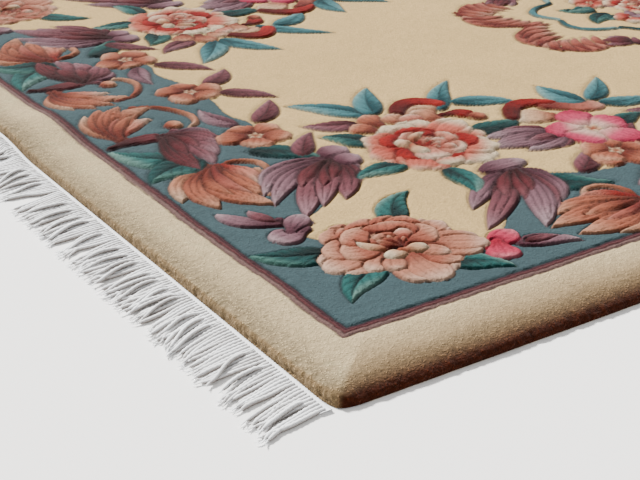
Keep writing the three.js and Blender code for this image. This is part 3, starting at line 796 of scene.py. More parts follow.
# The rosette in the middle of a long side, on its middle line.
SIDE_MIDDLE: Motifs = (
    Leaf(1250, 150, 1180, 196, 44, Dye.GREEN, 0.1),
    Leaf(1336, 150, 1406, 196, 44, Dye.GREEN, -0.1),
    Leaf(1262, 90, 1200, 44, 42, Dye.GREEN, -0.1),
    Leaf(1324, 90, 1386, 44, 42, Dye.GREEN, 0.1),
    Rose(1293, 128, 76, (
        *petal_ring(0.3, 1.0, 8, 56, 0, Dye.PEACH, 0.0),
        *petal_ring(0.15, 0.66, 6, 44, 20, Dye.PEACH, 0.9),
    ), Dye.IVORY, Dye.APRICOT),
)

# One quarter of the medallion's rim and bouquet, from the middle of the rug.
MEDALLION_QUARTER: Motifs = (
    CombedArc(-300, -8, -344, -146, -0.22, 60, 6, 120, Dye.SALMON, Dye.SALMON),
    CombedArc(-356, -138, -246, -168, -0.1, 54, 5, 84, Dye.SALMON, Dye.SALMON),
    Plume(-196, -190, (
        Tip(-262, -172, 26, 0.1, Dye.MAUVE), Tip(-252, -146, 30, 0.0, Dye.WINE),
        Tip(-226, -134, 26, -0.1, Dye.MAUVE),
    )),
    CombedArc(-206, -196, -40, -228, -0.14, 46, 6, 92, Dye.MAUVE, Dye.WINE),
    Plume(0, -206, (
        Tip(-56, -240, 26, 0.1, Dye.PEACH), Tip(-50, -208, 28, 0.0, Dye.SALMON),
        Tip(-30, -176, 26, -0.1, Dye.PEACH),
    )),
    Leaf(-104, 20, -172, 60, 46, Dye.PINE, 0.12),
    Leaf(-84, -58, -164, -40, 38, Dye.GREEN, -0.12),
    Leaf(-40, -84, -64, -140, 38, Dye.GREEN, 0.1),
    Blossom(-80, -62, 40, 5, 14, Dye.ROSE),
    Blossom(-50, 46, 32, 5, 50, Dye.LILAC),
)

# The rose in the middle of the rug.
MEDALLION_ROSE = Rose(0, 0, 68, (
    *petal_ring(0.4, 1.0, 8, 46, 0, Dye.ROSE, 0.4),
    *petal_ring(0.3, 0.76, 6, 40, 15, Dye.RED, 1.0),
    *petal_ring(0.1, 0.62, 6, 36, 40, Dye.ROSE, 1.5),
), Dye.IVORY, Dye.SALMON)


@dataclass(frozen=True)
class RugSize:
    """The rug's main sizes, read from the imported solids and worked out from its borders."""

    length: float
    width: float
    end_border: float = 77.0
    side_border: float = 103.0
    pile_top: float = 16.0
    field_drop: float = 0.8
    ripple_height: float = 9.0
    ripple_y: float = -8.0
    ripple_half: float = 120.0
    ripple_reach: float = 430.0

    @classmethod
    def from_frame(cls) -> RugSize:
        """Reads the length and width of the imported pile."""
        low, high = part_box("rug_pile")
        return cls((high.x - low.x) / MM, (high.y - low.y) / MM)

    @property
    def middle(self) -> Point:
        """The rug's middle, from the outer corner of the guard stripe."""
        return self.length / 2 - self.end_border, self.width / 2 - self.side_border

    def insets(self, x: Array, y: Array) -> tuple[Array, Array]:
        """Returns how far plan positions lie in from the ends and from the long sides."""
        return self.length / 2 - np.abs(x), self.width / 2 - np.abs(y)

    def lift(self, x: Array, y: Array) -> Array:
        """Returns how far the ripple at the near end lifts the rug at plan positions."""
        inward = np.clip(1.0 - (x + self.length / 2) / self.ripple_reach, 0.0, 1.0)
        share = np.clip(np.abs(y - self.ripple_y) / self.ripple_half, 0.0, 1.0)
        return self.ripple_height * inward * (0.5 + 0.5 * np.cos(math.pi * share))


def value_noise(x: Array, y: Array, size: float, seed: int) -> Array:
    """Makes smooth noise over the plan.

    Args:
        x: Positions along the rug.
        y: Positions across it.
        size: Distance between the noise's knots.
        seed: Seed of the random table.

    Returns:
        Values from -1 to 1.
    """
    table = np.random.default_rng(seed).uniform(-1.0, 1.0, (257, 257))
    i = np.floor(x / size).astype(int)
    j = np.floor(y / size).astype(int)
    a = ease(x / size - i)
    b = ease(y / size - j)
    i0, j0, i1, j1 = i % 257, j % 257, (i + 1) % 257, (j + 1) % 257
    low = table[i0, j0] * (1 - a) + table[i1, j0] * a
    high = table[i0, j1] * (1 - a) + table[i1, j1] * a
    return low * (1 - b) + high * b


@dataclass
class Pattern:
    """The whole design: every blade in the order of laying, in the rug's own x and y."""

    size: RugSize
    side_shift: float = 65.0
    line_along: float = 212.0
    line_across: float = 146.0
    line_scallop: float = 34.0
    blades: list[Blade] = field(default_factory=list)

    def lay_out(self) -> list[Blade]:
        """Works out every blade of the rug, mirrored to its four quarters.

        Returns:
            The blades, in the order of laying.
        """
        middle = self.size.middle
        quarter = self.blades_of(SIDE_SCROLLS + END_SCROLLS)
        repeat = self.blades_of(END_REPEAT)
        quarter += repeat
        quarter += [blade.placed(self.turned) for blade in repeat]
        quarter += [blade.placed(self.folded) for blade in repeat]
        flower = self.blades_of(MIDDLE_FLOWER)
        leaf, bloom = flower[:1], flower[1:]
        quarter += leaf + [blade.placed(self.turned) for blade in flower]
        quarter += [blade.placed(self.folded) for blade in leaf]
        quarter += self.blades_of(INNER_SPRAYS + CORNER_LEAVES + (CORNER_ROSE, RED_ROSE))
        for signs in QUARTERS:
            self.add(quarter, signs, middle)
        for sign in (1, -1):
            self.add(bloom, (sign, 1), middle)
        for sign in (1, -1):
            self.add(self.blades_of(SIDE_MIDDLE), (1, sign), middle)
        self.blades += self.medallion_line()
        for signs in QUARTERS:
            self.add(self.blades_of(MEDALLION_QUARTER), signs)
        self.blades += MEDALLION_ROSE.blades()
        return self.blades

    def turned(self, point: Point) -> Point:
        """Returns a point of the end's border turned about onto the long side."""
        return point[1] + self.side_shift, point[0]

    def folded(self, point: Point) -> Point:
        """Returns the same point mirrored about the long side's fold."""
        fold = self.size.middle[1] + self.side_shift
        return 2 * fold - point[1] - self.side_shift, point[0]

    @staticmethod
    def blades_of(motifs: Iterable[Motif]) -> list[Blade]:
        """Returns the blades of several motifs, in order."""
        return [blade for motif in motifs for blade in motif.blades()]

    def add(self, blades: list[Blade], signs: Point, origin: Point = (0.0, 0.0)) -> None:
        """Adds blades, mirrored about an origin.

        Args:
            blades: The blades.
            signs: Plus or minus one, along and across.
            origin: The point that comes to the rug's middle.
        """
        self.blades += [blade.placed(lambda p: (signs[0] * (p[0] - origin[0]),
                                                signs[1] * (p[1] - origin[1]))) for blade in blades]

    def medallion_line(self) -> list[Blade]:
        """Returns the scalloped teal line round the bouquet, one ribbon for each scallop."""
        made = []
        lobes = 8
        for k in range(lobes):
            points = []
            for t in np.linspace(-0.03, 1.03, 13):
                angle = math.pi + 2.0 * math.pi * (k + t) / lobes
                wave = self.line_scallop * abs(math.sin(math.pi * t))
                points.append(((self.line_along + wave) * math.cos(angle),
                               (self.line_across + wave) * math.sin(angle)))
            made.append(Blade(tuple(points), 16.0, Form.RIBBON, Dye.TEAL, 0.2, 2.8))
        return made

    def field_edge(self) -> Array:
        """Returns one quarter's edge between the slate band and the ivory field, in u and v."""
        mid_u, mid_v = self.size.middle
        corners = [
            (258, mid_v), (262, 760), (250, 690), (262, 640), (246, 582), (240, 530), (262, 482),
            (284, 440), (228, 352), (166, 300), (122, 282), (108, 236), (178, 160), (262, 112),
            (300, 104), (346, 132), (410, 204), (462, 256), (504, 240), (556, 208), (624, 196),
            (664, 236), (724, 246), (822, 258), (880, 250), (960, 262), (1060, 246), (1150, 262),
            (1220, 232), (mid_u, 224),
        ]
        return smooth_path(np.array(corners, float), 6)


def smooth_path(points: Array, steps: int) -> Array:
    """Rounds a path through its points.

    Args:
        points: The path's points.
        steps: Steps between two of them.

    Returns:
        The points of the rounded path.
    """
    padded = np.vstack([2 * points[0] - points[1], points, 2 * points[-1] - points[-2]])
    t = (np.arange(steps) / steps)[:, None]
    made = []
    for a, b, c, d in zip(padded, padded[1:], padded[2:], padded[3:]):
        made.append(0.5 * (2 * b + (c - a) * t + (2 * a - 5 * b + 4 * c - d) * t ** 2
                           + (3 * b - a - 3 * c + d) * t ** 3))
    return np.vstack(made + [points[-1:]])


def path_distance(x: Array, y: Array, path: Array) -> Array:
    """Measures how far points lie from a path of short straight steps.

    Args:
        x: The points' first coordinates.
        y: Their second ones.
        path: The path's points, one a row.

    Returns:
        The distances.
    """
    best = np.full(len(x), 1e9)
    for (x0, y0), (x1, y1) in zip(path, path[1:]):
        dx, dy = x1 - x0, y1 - y0
        t = np.clip(((x - x0) * dx + (y - y0) * dy) / max(dx * dx + dy * dy, 1e-9), 0.0, 1.0)
        best = np.minimum(best, (x - x0 - dx * t) ** 2 + (y - y0 - dy * t) ** 2)
    return np.sqrt(best)


def inside_path(x: Array, y: Array, path: Array) -> Array:
    """Tests which points lie inside a closed path.

    Args:
        x: The points' first coordinates.
        y: Their second ones.
        path: The path's points, one a row.

    Returns:
        One truth value a point.
    """
    odd = np.zeros(len(x), bool)
    for (x0, y0), (x1, y1) in zip(path, np.roll(path, -1, axis=0)):
        if y0 == y1:
            continue
        crosses = (y0 > y) != (y1 > y)
        odd ^= crosses & (x < (x1 - x0) * (y - y0) / (y1 - y0) + x0)
    return odd


def hand_drift(x: Array, y: Array) -> tuple[Array, Array]:
    """Returns how far hand knotting moves the pattern at plan positions, along and across."""
    along = 2.0 * value_noise(x, y, 74.0, 3) + 0.5 * value_noise(x, y, 19.0, 4)
    across = 2.0 * value_noise(x, y, 71.0, 5) + 0.5 * value_noise(x, y, 17.0, 6)
    return along, across


def carved_line(off: Array, width: float) -> Array:
    """Returns 1 in the middle of a carved line and 0 from its width outwards."""
    return np.clip(1.0 - np.abs(off) / width, 0.0, 1.0)


@dataclass
class CarvedWool:
    """Height and colour of the wool at many plan points, with painted shade in the carved lines.

    Attributes:
        size: The rug's sizes.
        x: Plan positions along the rug.
        y: Plan positions across it.
        groove_depth: Depth of the carved line round each blade.
        groove_width: Its width on one side of the outline.
        groove_shade: The strength of the painted shade in it.
        rib_depth: Depth of a leaf's carved midrib.
        vein_depth: Depth of its side veins.
        stroke_depth: Depth of the fine lines along a petal.
        seam: Half width, depth and painted shade of the line between band and field.
        roll: How far a blade's rounded edge reaches in.
        soft: Half the width over which two wools mix at an outline.
        stripe_soft: The same between the guard stripes.
    """

    size: RugSize
    x: Array
    y: Array
    groove_depth: float = 2.5
    groove_width: float = 3.0
    groove_shade: float = 0.52
    rib_depth: float = 2.1
    vein_depth: float = 1.2
    stroke_depth: float = 1.8
    seam: tuple[float, float, float] = (2.8, 1.6, 0.36)
    roll: float = 8.0
    soft: float = 0.9
    stripe_soft: float = 0.6

    def __post_init__(self) -> None:
        """Drifts the plan a little, as hand knotting does, and makes empty layers."""
        along, across = hand_drift(self.x, self.y)
        self.px = self.x + along
        self.py = self.y + across
        self.order = np.argsort(self.px)
        self.sorted_x = self.px[self.order]
        count = len(self.x)
        self.height = np.zeros(count)
        self.cut = np.zeros(count)
        # Painted shade of the carved lines, multiplied into the colour at the end.
        self.painted_shade = np.ones(count)
        self.tuft = np.zeros(count)
        self.colour = np.zeros((count, 3))
        away = np.hypot(self.x + self.size.length / 2, self.y + self.size.width / 2)
        self.grain = 1.0 + 0.7 * ease((away - 500.0) / 160.0)

    def lay_grounds(self, pattern: Pattern) -> None:
        """Colours the plain border, guard stripes, slate band and ivory field, and paints shade into their
        carved lines.

        Args:
            pattern: The design, for the edge of the field.
        """
        mid_u, mid_v = self.size.middle
        u = mid_u - np.abs(self.px)
        v = mid_v - np.abs(self.py)
        inward = np.minimum(u, v)
        inward += 0.9 * value_noise(self.x, self.y, 8.0, 8) * ease((30.0 - inward) / 8.0)
        tones = (Ground.BORDER, Ground.GUARD_OUTER, Ground.GUARD_RED, Ground.GUARD_PLUM, Ground.BAND)
        colours = np.array([linear(tone.value) for tone in tones])
        soft = self.stripe_soft
        stops = [line.place + side for line in GUARD_LINES for side in (-soft, soft)]
        for k in range(3):
            levels = np.repeat(colours[:, k], 2)[1:-1]
            self.colour[:, k] = np.interp(inward, stops, levels)
        self.height[:] = self.size.pile_top - self.size.field_drop * ease((inward - 8.0) / 10.0)
        # Painted shade in the guard stripes' carved lines.
        for line in GUARD_LINES:
            carved = carved_line(inward - line.place, line.width)
            self.cut = np.maximum(self.cut, line.depth * carved)
            self.painted_shade *= 1.0 - line.dark * carved
        inset = np.minimum(*self.size.insets(self.x, self.y))
        # Deeper gaps between tufts near the edges, which the yarn shader carves and fills with painted
        # shade.
        self.tuft[:] = 0.25 + 0.2 * ease(-inward / 8.0) + 0.55 * ease((56.0 - inset) / 44.0)
        edge = pattern.field_edge()
        closed = np.vstack([edge, [(mid_u + 400, 224), (mid_u + 400, mid_v + 400), (258, mid_v + 400)]])
        self.colour[inside_path(u, v, closed)] = linear(Ground.FIELD.value)
        near = (u < 1400) & (inward > 60) & (inward < 420)
        gap = np.full(len(u), 1e3)
        gap[near] = path_distance(u[near], v[near], edge)
        seam_width, seam_depth, seam_shade = self.seam
        # Painted shade in the carved line between band and field.
        seam = carved_line(gap, seam_width)
        self.cut = np.maximum(self.cut, seam_depth * seam)
        self.painted_shade *= 1.0 - seam_shade * seam

    def around(self, blade: Blade) -> Array:
        """Finds the points near a blade.

        Args:
            blade: The blade.

        Returns:
            The points' numbers.
        """
        points = np.array(blade.line)
        reach = blade.width / 2 + 6.0
        low, high = points.min(axis=0) - reach, points.max(axis=0) + reach
        first, last = np.searchsorted(self.sorted_x, [low[0], high[0]])
        near = self.order[first:last]
        across = self.py[near]
        return near[(across > low[1]) & (across < high[1])]

    def lay(self, blade: Blade) -> None:
        """Lays one blade: its carved line outside, with painted shade in it, and its pillow and colours
        inside.

        Args:
            blade: The blade.
        """
        near = self.around(blade)
        if not len(near):
            return
        t, side, gap = blade.locate(self.px[near], self.py[near])
        width = self.groove_width * self.grain[near]
        line = carved_line(np.maximum(gap, 0.0), width)
        out = gap >= 0
        beside = near[out]
        depth = self.groove_depth * blade.carve * line[out]
        # Painted shade in the groove outside the outline.
        dark = self.groove_shade * blade.carve * line[out] ** 1.4
        self.cut[beside] = np.maximum(self.cut[beside], depth)
        self.painted_shade[beside] = np.minimum(self.painted_shade[beside], 1.0 - dark)
        covered = gap < self.soft * self.grain[near]
        if covered.any():
            self.cover(blade, near[covered], t[covered], side[covered], -gap[covered])

    def cover(self, blade: Blade, inn: Array, t: Array, side: Array, deep: Array) -> None:
        """Raises, carves and colours the points that a blade covers, with painted shade in its carved
        lines.

        Args:
            blade: The blade.
            inn: Numbers of the covered points.
            t: Their shares of the way to the tip.
            side: Their signed distances from the middle line.
            deep: Their distances in from the outline, negative just outside it.
        """
        grain = self.grain[inn]
        share = np.clip(0.5 + 0.5 * deep / (self.soft * grain), 0.0, 1.0)
        inside = deep >= 0
        deep = np.maximum(deep, 0.0)
        q = np.clip(deep / min(self.roll, 0.36 * blade.width), 0.0, 1.0)
        field_top = self.size.pile_top - self.size.field_drop
        raised = field_top + blade.level * (0.4 + 0.6 * q) + blade.rise * (1.0 - (1.0 - q) ** 2) ** 0.7
        self.height[inn] += (raised - self.height[inn]) * share
        cut = self.groove_depth * blade.carve * carved_line(deep, 1.7 * grain)
        # Painted shade inside the outline's groove, partly also the darker look of the cut wool there.
        painted_shade = 1.0 - self.groove_shade * blade.carve * np.exp(-deep / (1.6 * grain))
        tone = t ** 1.4 + blade.fade
        ends = ease(t / 0.1) * ease((1.0 - t) / 0.18)
        if blade.veined:
            across = np.abs(side) / (0.5 * blade.width)
            rib = carved_line(side, 2.6) * ends
            from_vein = ((5.0 * t - 1.6 * across) % 1.0) - 0.5
            vein = carved_line(from_vein, 0.2) * ends * ease(across / 0.2)
            cut = np.maximum(cut, np.maximum(self.rib_depth * rib, self.vein_depth * vein))
            # Painted shade in the midrib and side veins.
            painted_shade = np.minimum(painted_shade, 1.0 - np.maximum(0.56 * rib, 0.4 * vein))
            tone = 0.74 * tone + 0.4 * across + np.where(side > 0, 0.12, -0.2)
        if blade.strokes:
            half = np.maximum(0.5 * blade.width * np.interp(t, FORM_STEPS, FORM_TABLES[blade.form]), 1.0)
            barb = (side / half + 1.0) * 0.5 * blade.barbs()
            beside = (barb - np.round(barb)) * 2.0 * half / blade.barbs()
            stroke = carved_line(beside, 1.7 * grain) * ends * blade.strokes
            stroke = stroke * ease((deep - 1.5) / 3.0)
            cut = np.maximum(cut, self.stroke_depth * stroke)
            # Painted shade in the fine carved lines.
            painted_shade = np.minimum(painted_shade, 1.0 - 0.44 * stroke)
        self.cut[inn[inside]] = cut[inside]
        self.painted_shade[inn[inside]] = painted_shade[inside]
        self.tuft[inn] = 0.16
        dyed = blade.dye.value.ramp(np.clip(tone, 0.0, 1.0))
        self.colour[inn] += (dyed - self.colour[inn]) * share[:, None]

    def finish(self) -> tuple[Array, Array]:
        """Works out the final heights and colours.

        Returns:
            The heights above the floor, without the ripple, and the linear colours, darkened by the painted
            shade.
        """
        x, y = self.x, self.y
        # Uneven shearing moves the height, and uneven dyeing the colour; the carved lines' painted shade
        # darkens it too.
        tufts = 0.3 * value_noise(x, y, 7.0, 11) + 0.22 * value_noise(x, y, 3.6, 13)
        tufts += (0.2 + 0.4 * self.tuft) * value_noise(x, y, 26.0, 12)
        abrash = 1.0 + 0.035 * value_noise(x, y, 120.0, 14) + 0.03 * value_noise(x, y, 31.0, 15)
        abrash += 0.05 * value_noise(x, y, 6.0, 16)
        return self.height - self.cut + tufts, self.colour * (self.painted_shade ** 1.3 * abrash)[:, None]


@dataclass(frozen=True)
class EdgeRoll:
    """The rounded edge of the pile, and how a square grid runs over it and round the corners.

    Attributes:
        size: The rug's sizes.
        reach: How far in from the outline the edge's rows run.
        rows: Grid rows in the edge.
        foot: Height of the pile's foot.
        end_round: How far in the end's rounding reaches.
        side_round: The same on the long sides.
        corner_cut: How far a corner is cut back, as a share of the reach.
    """

    size: RugSize
    reach: float = 54.0
    rows: int = 34
    foot: float = 0.9
    end_round: float = 6.5
    side_round: float = 50.0
    corner_cut: float = 0.13

    def profile(self, rounding: float) -> Array:
        """Works out the edge's section, at even steps of its length.

        Args:
            rounding: How far in its rounding reaches.

        Returns:
            The inset and height of each row, from the foot up.
        """
        turn = np.linspace(0.0, math.pi / 2, 40)
        knee = self.size.pile_top - min(11.0, rounding)
        wall = np.linspace(self.foot, knee, 12)
        bulge = 1.1 * (1.0 - (wall - self.foot) / (knee - self.foot)) ** 2
        top = self.size.pile_top
        inset = np.concatenate([bulge, rounding * (1 - np.cos(turn)), [self.reach]])
        height = np.concatenate([wall, knee + (top - knee) * np.sin(turn), [top]])
        along = np.concatenate([[0.0], np.hypot(np.diff(inset), np.diff(height)).cumsum()])
        even = np.linspace(0.0, along[-1], self.rows + 1)
        return np.stack([np.interp(even, along, inset), np.interp(even, along, height)], axis=1)

    def insets(self, k: Array, count: int, half: float, rows: Array) -> Array:
        """Spaces the grid's lines, by the edge's rows and then evenly.

        Args:
            k: The lines' numbers, from the outline.
            count: Cells from side to side.
            half: Distance from the outline to the middle.
            rows: Insets of the edge's rows.

        Returns:
            The lines' insets.
        """
        even = self.reach + (k - self.rows) * (half - self.reach) / (count / 2 - self.rows)
        return np.where(k < self.rows, np.interp(k, np.arange(self.rows + 1), rows), even)

    def place(self, i: Array, j: Array, cells: tuple[int, int]) -> tuple[Array, ...]:
        """Finds where grid points lie.

        Args:
            i: Grid numbers along the rug.
            j: Grid numbers across it.
            cells: Number of cells along and across.

        Returns:
            Plan x and y, the height of the rounded edge there, and the inset from the outline.
        """
        ends, sides = self.profile(self.end_round), self.profile(self.side_round)
        nx, ny = cells
        ei, ej = np.minimum(i, nx - i), np.minimum(j, ny - j)
        half_x, half_y = self.size.length / 2, self.size.width / 2
        rows = self.rows
        steps = np.arange(rows + 1)
        in_x = self.insets(ei, nx, half_x, ends[:, 0])
        in_y = self.insets(ej, ny, half_y, sides[:, 0])
        z = np.minimum(np.interp(ei, steps, ends[:, 1]), np.interp(ej, steps, sides[:, 1]))
        # In a corner the two sections turn into each other, and the grid's square rings grow round.
        corner = (ei < rows) & (ej < rows)
        a = (rows - ei[corner]) / rows
        b = (rows - ej[corner]) / rows
        far = np.maximum(a, b)
        turn = np.where(a >= b, 0.25 * math.pi * b / np.maximum(a, 1e-9),
                        0.5 * math.pi - 0.25 * math.pi * a / np.maximum(b, 1e-9))
        row = (1.0 - far) * rows
        share = np.sin(turn) ** 2
        inset, z[corner] = (np.interp(row, steps, ends[:, k]) * (1 - share)
                            + np.interp(row, steps, sides[:, k]) * share for k in (0, 1))
        near = np.minimum(a, b) / np.maximum(far, 1e-9)
        pull = 1.0 - self.corner_cut * near ** (0.5 * (1.0 / self.corner_cut - 1.0))
        in_x[corner] = self.reach - (self.reach - inset) * pull * np.where(a >= b, 1.0, near)
        in_y[corner] = self.reach - (self.reach - inset) * pull * np.where(a >= b, near, 1.0)
        x = np.where(i * 2 < nx, in_x - half_x, half_x - in_x)
        y = np.where(j * 2 < ny, in_y - half_y, half_y - in_y)
        return x, y, z, np.minimum(in_x, in_y)


@dataclass
class TuftGrid:
    """A grid of square cells in four sizes, fine along the carved lines and coarse on plain wool."""

    cells: tuple[int, int] = (1728, 1160)
    coarsest: int = 3

    @staticmethod
    def spread(mask: Array) -> Array:
        """Returns a mask grown by one cell all round."""
        return np.lib.stride_tricks.sliding_window_view(np.pad(mask, 1), (3, 3)).any(axis=(2, 3))

    def blocks(self, values: Array, level: int) -> Array:
        """Returns the least value in each block of a level."""
        (nx, ny), side = self.cells, 1 << level
        return values.reshape(nx // side, side, ny // side, side).min(axis=(1, 3))

    def levels(self, want: Array) -> Array:
        """Gathers fine cells into whole blocks.

        Args:
            want: The level that each fine cell may have.

        Returns:
            The level of the cell that covers each fine cell.
        """
        made = np.zeros_like(want)
        for level in range(1, self.coarsest + 1):
            side = 1 << level
            whole = self.blocks(want, level) >= level
            made[np.repeat(np.repeat(whole, side, 0), side, 1)] = level
        return made

    def balanced(self, want: Array) -> Array:
        """Evens out the levels, so that neighbouring cells differ by one size at most.

        Args:
            want: The level that each fine cell may have.

        Returns:
            The level of the cell that covers each fine cell.
        """
        for level in range(self.coarsest - 1):
            side = 1 << (level + 1)
            fine = self.blocks(self.levels(want), level + 1) <= level
            near = np.repeat(np.repeat(self.spread(fine), side, 0), side, 1)
            want = np.where(near, np.minimum(want, level + 1), want)
        return self.levels(want)

    def faces(self, level: Array) -> tuple[Array, Array, Array]:
        """Turns the cells into faces.

        Args:
            level: The balanced levels.

        Returns:
            The used grid points as i and j rows, the corners of all faces in turn, and each face's count.
        """
        nx, ny = self.cells
        width = ny + 1
        lows, sizes = [], []
        for size in range(self.coarsest + 1):
            side = 1 << size
            i, j = np.nonzero(level[::side, ::side] == size)
            lows.append(np.stack([i * side, j * side], axis=1))
            sizes.append(np.full(len(i), side))
        low, side = np.concatenate(lows), np.concatenate(sizes)
        # A cell keeps a point in the middle of a side where a finer neighbour has one.
        half = side // 2
        at = [(0, 0), (1, 0), (2, 0), (2, 1), (2, 2), (1, 2), (0, 2), (0, 1)]
        ids = np.empty((len(low), 8), np.int64)
        for k, (a, b) in enumerate(at):
            di = half if a == 1 else side * (a // 2)
            dj = half if b == 1 else side * (b // 2)
            ids[:, k] = (low[:, 0] + di) * width + low[:, 1] + dj
        used = np.zeros((nx + 1) * width, bool)
        used[ids[:, ::2].ravel()] = True
        keep = np.ones((len(low), 8), bool)
        keep[:, 1::2] = used[ids[:, 1::2]] & (side > 1)[:, None]
        counts = keep.sum(axis=1)
        corners = ids[keep]
        points, corners = np.unique(corners, return_inverse=True)
        return np.stack([points // width, points % width]), corners, counts


def new_object(name: str, mesh: Mesh, material: Material) -> Object:
    """Links a mesh to the scene as an object with one material and returns it."""
    made = bpy.data.objects.new(name, mesh)
    bpy.context.scene.collection.objects.link(made)
    mesh.materials.append(material)
    return made


def face_starts(counts: Array) -> Array:
    """Returns where each face's corners start, from its number of corners."""
    return np.concatenate([[0], counts.cumsum()[:-1]])


def build_mesh(name: str, places: Array, corners: Array, counts: Array) -> Mesh:
    """Makes a smooth mesh from arrays.

    Args:
        name: The mesh's name.
        places: One point a row, in metres.
        corners: Corners of all faces in turn.
        counts: Corners of each face.

    Returns:
        The new mesh.
    """
    mesh = bpy.data.meshes.new(name)
    mesh.vertices.add(len(places))
    mesh.vertices.foreach_set("co", places.astype(np.float32).ravel())
    mesh.loops.add(len(corners))
    mesh.loops.foreach_set("vertex_index", corners.astype(np.int32))
    mesh.polygons.add(len(counts))
    mesh.polygons.foreach_set("loop_start", face_starts(counts).astype(np.int32))
    mesh.update(calc_edges=True)
    mesh.polygons.foreach_set("use_smooth", np.ones(len(counts), bool))
    return mesh


def colour_points(mesh: Mesh, name: str, colours: Array) -> None:
    """Stores one linear colour for each point of a mesh."""
    layer = mesh.color_attributes.new(name, "FLOAT_COLOR", "POINT")
    rgba = np.concatenate([colours, np.ones((len(colours), 1))], axis=1)
    layer.data.foreach_set("color", rgba.astype(np.float32).ravel())


def plan_map(mesh: Mesh, plan: Array) -> None:
    """Gives a mesh a flat map.

    Args:
        mesh: The mesh.
        plan: One plan position for each point.
    """
    layer = mesh.uv_layers.new(name="OFBake")
    low, high = plan.min(axis=0), plan.max(axis=0)
    share = 0.01 + 0.98 * (plan - low) / np.maximum(high - low, 1e-9)
    index = np.empty(len(mesh.loops), np.int32)
    mesh.loops.foreach_get("vertex_index", index)
    layer.data.foreach_set("uv", share[index].astype(np.float32).ravel())


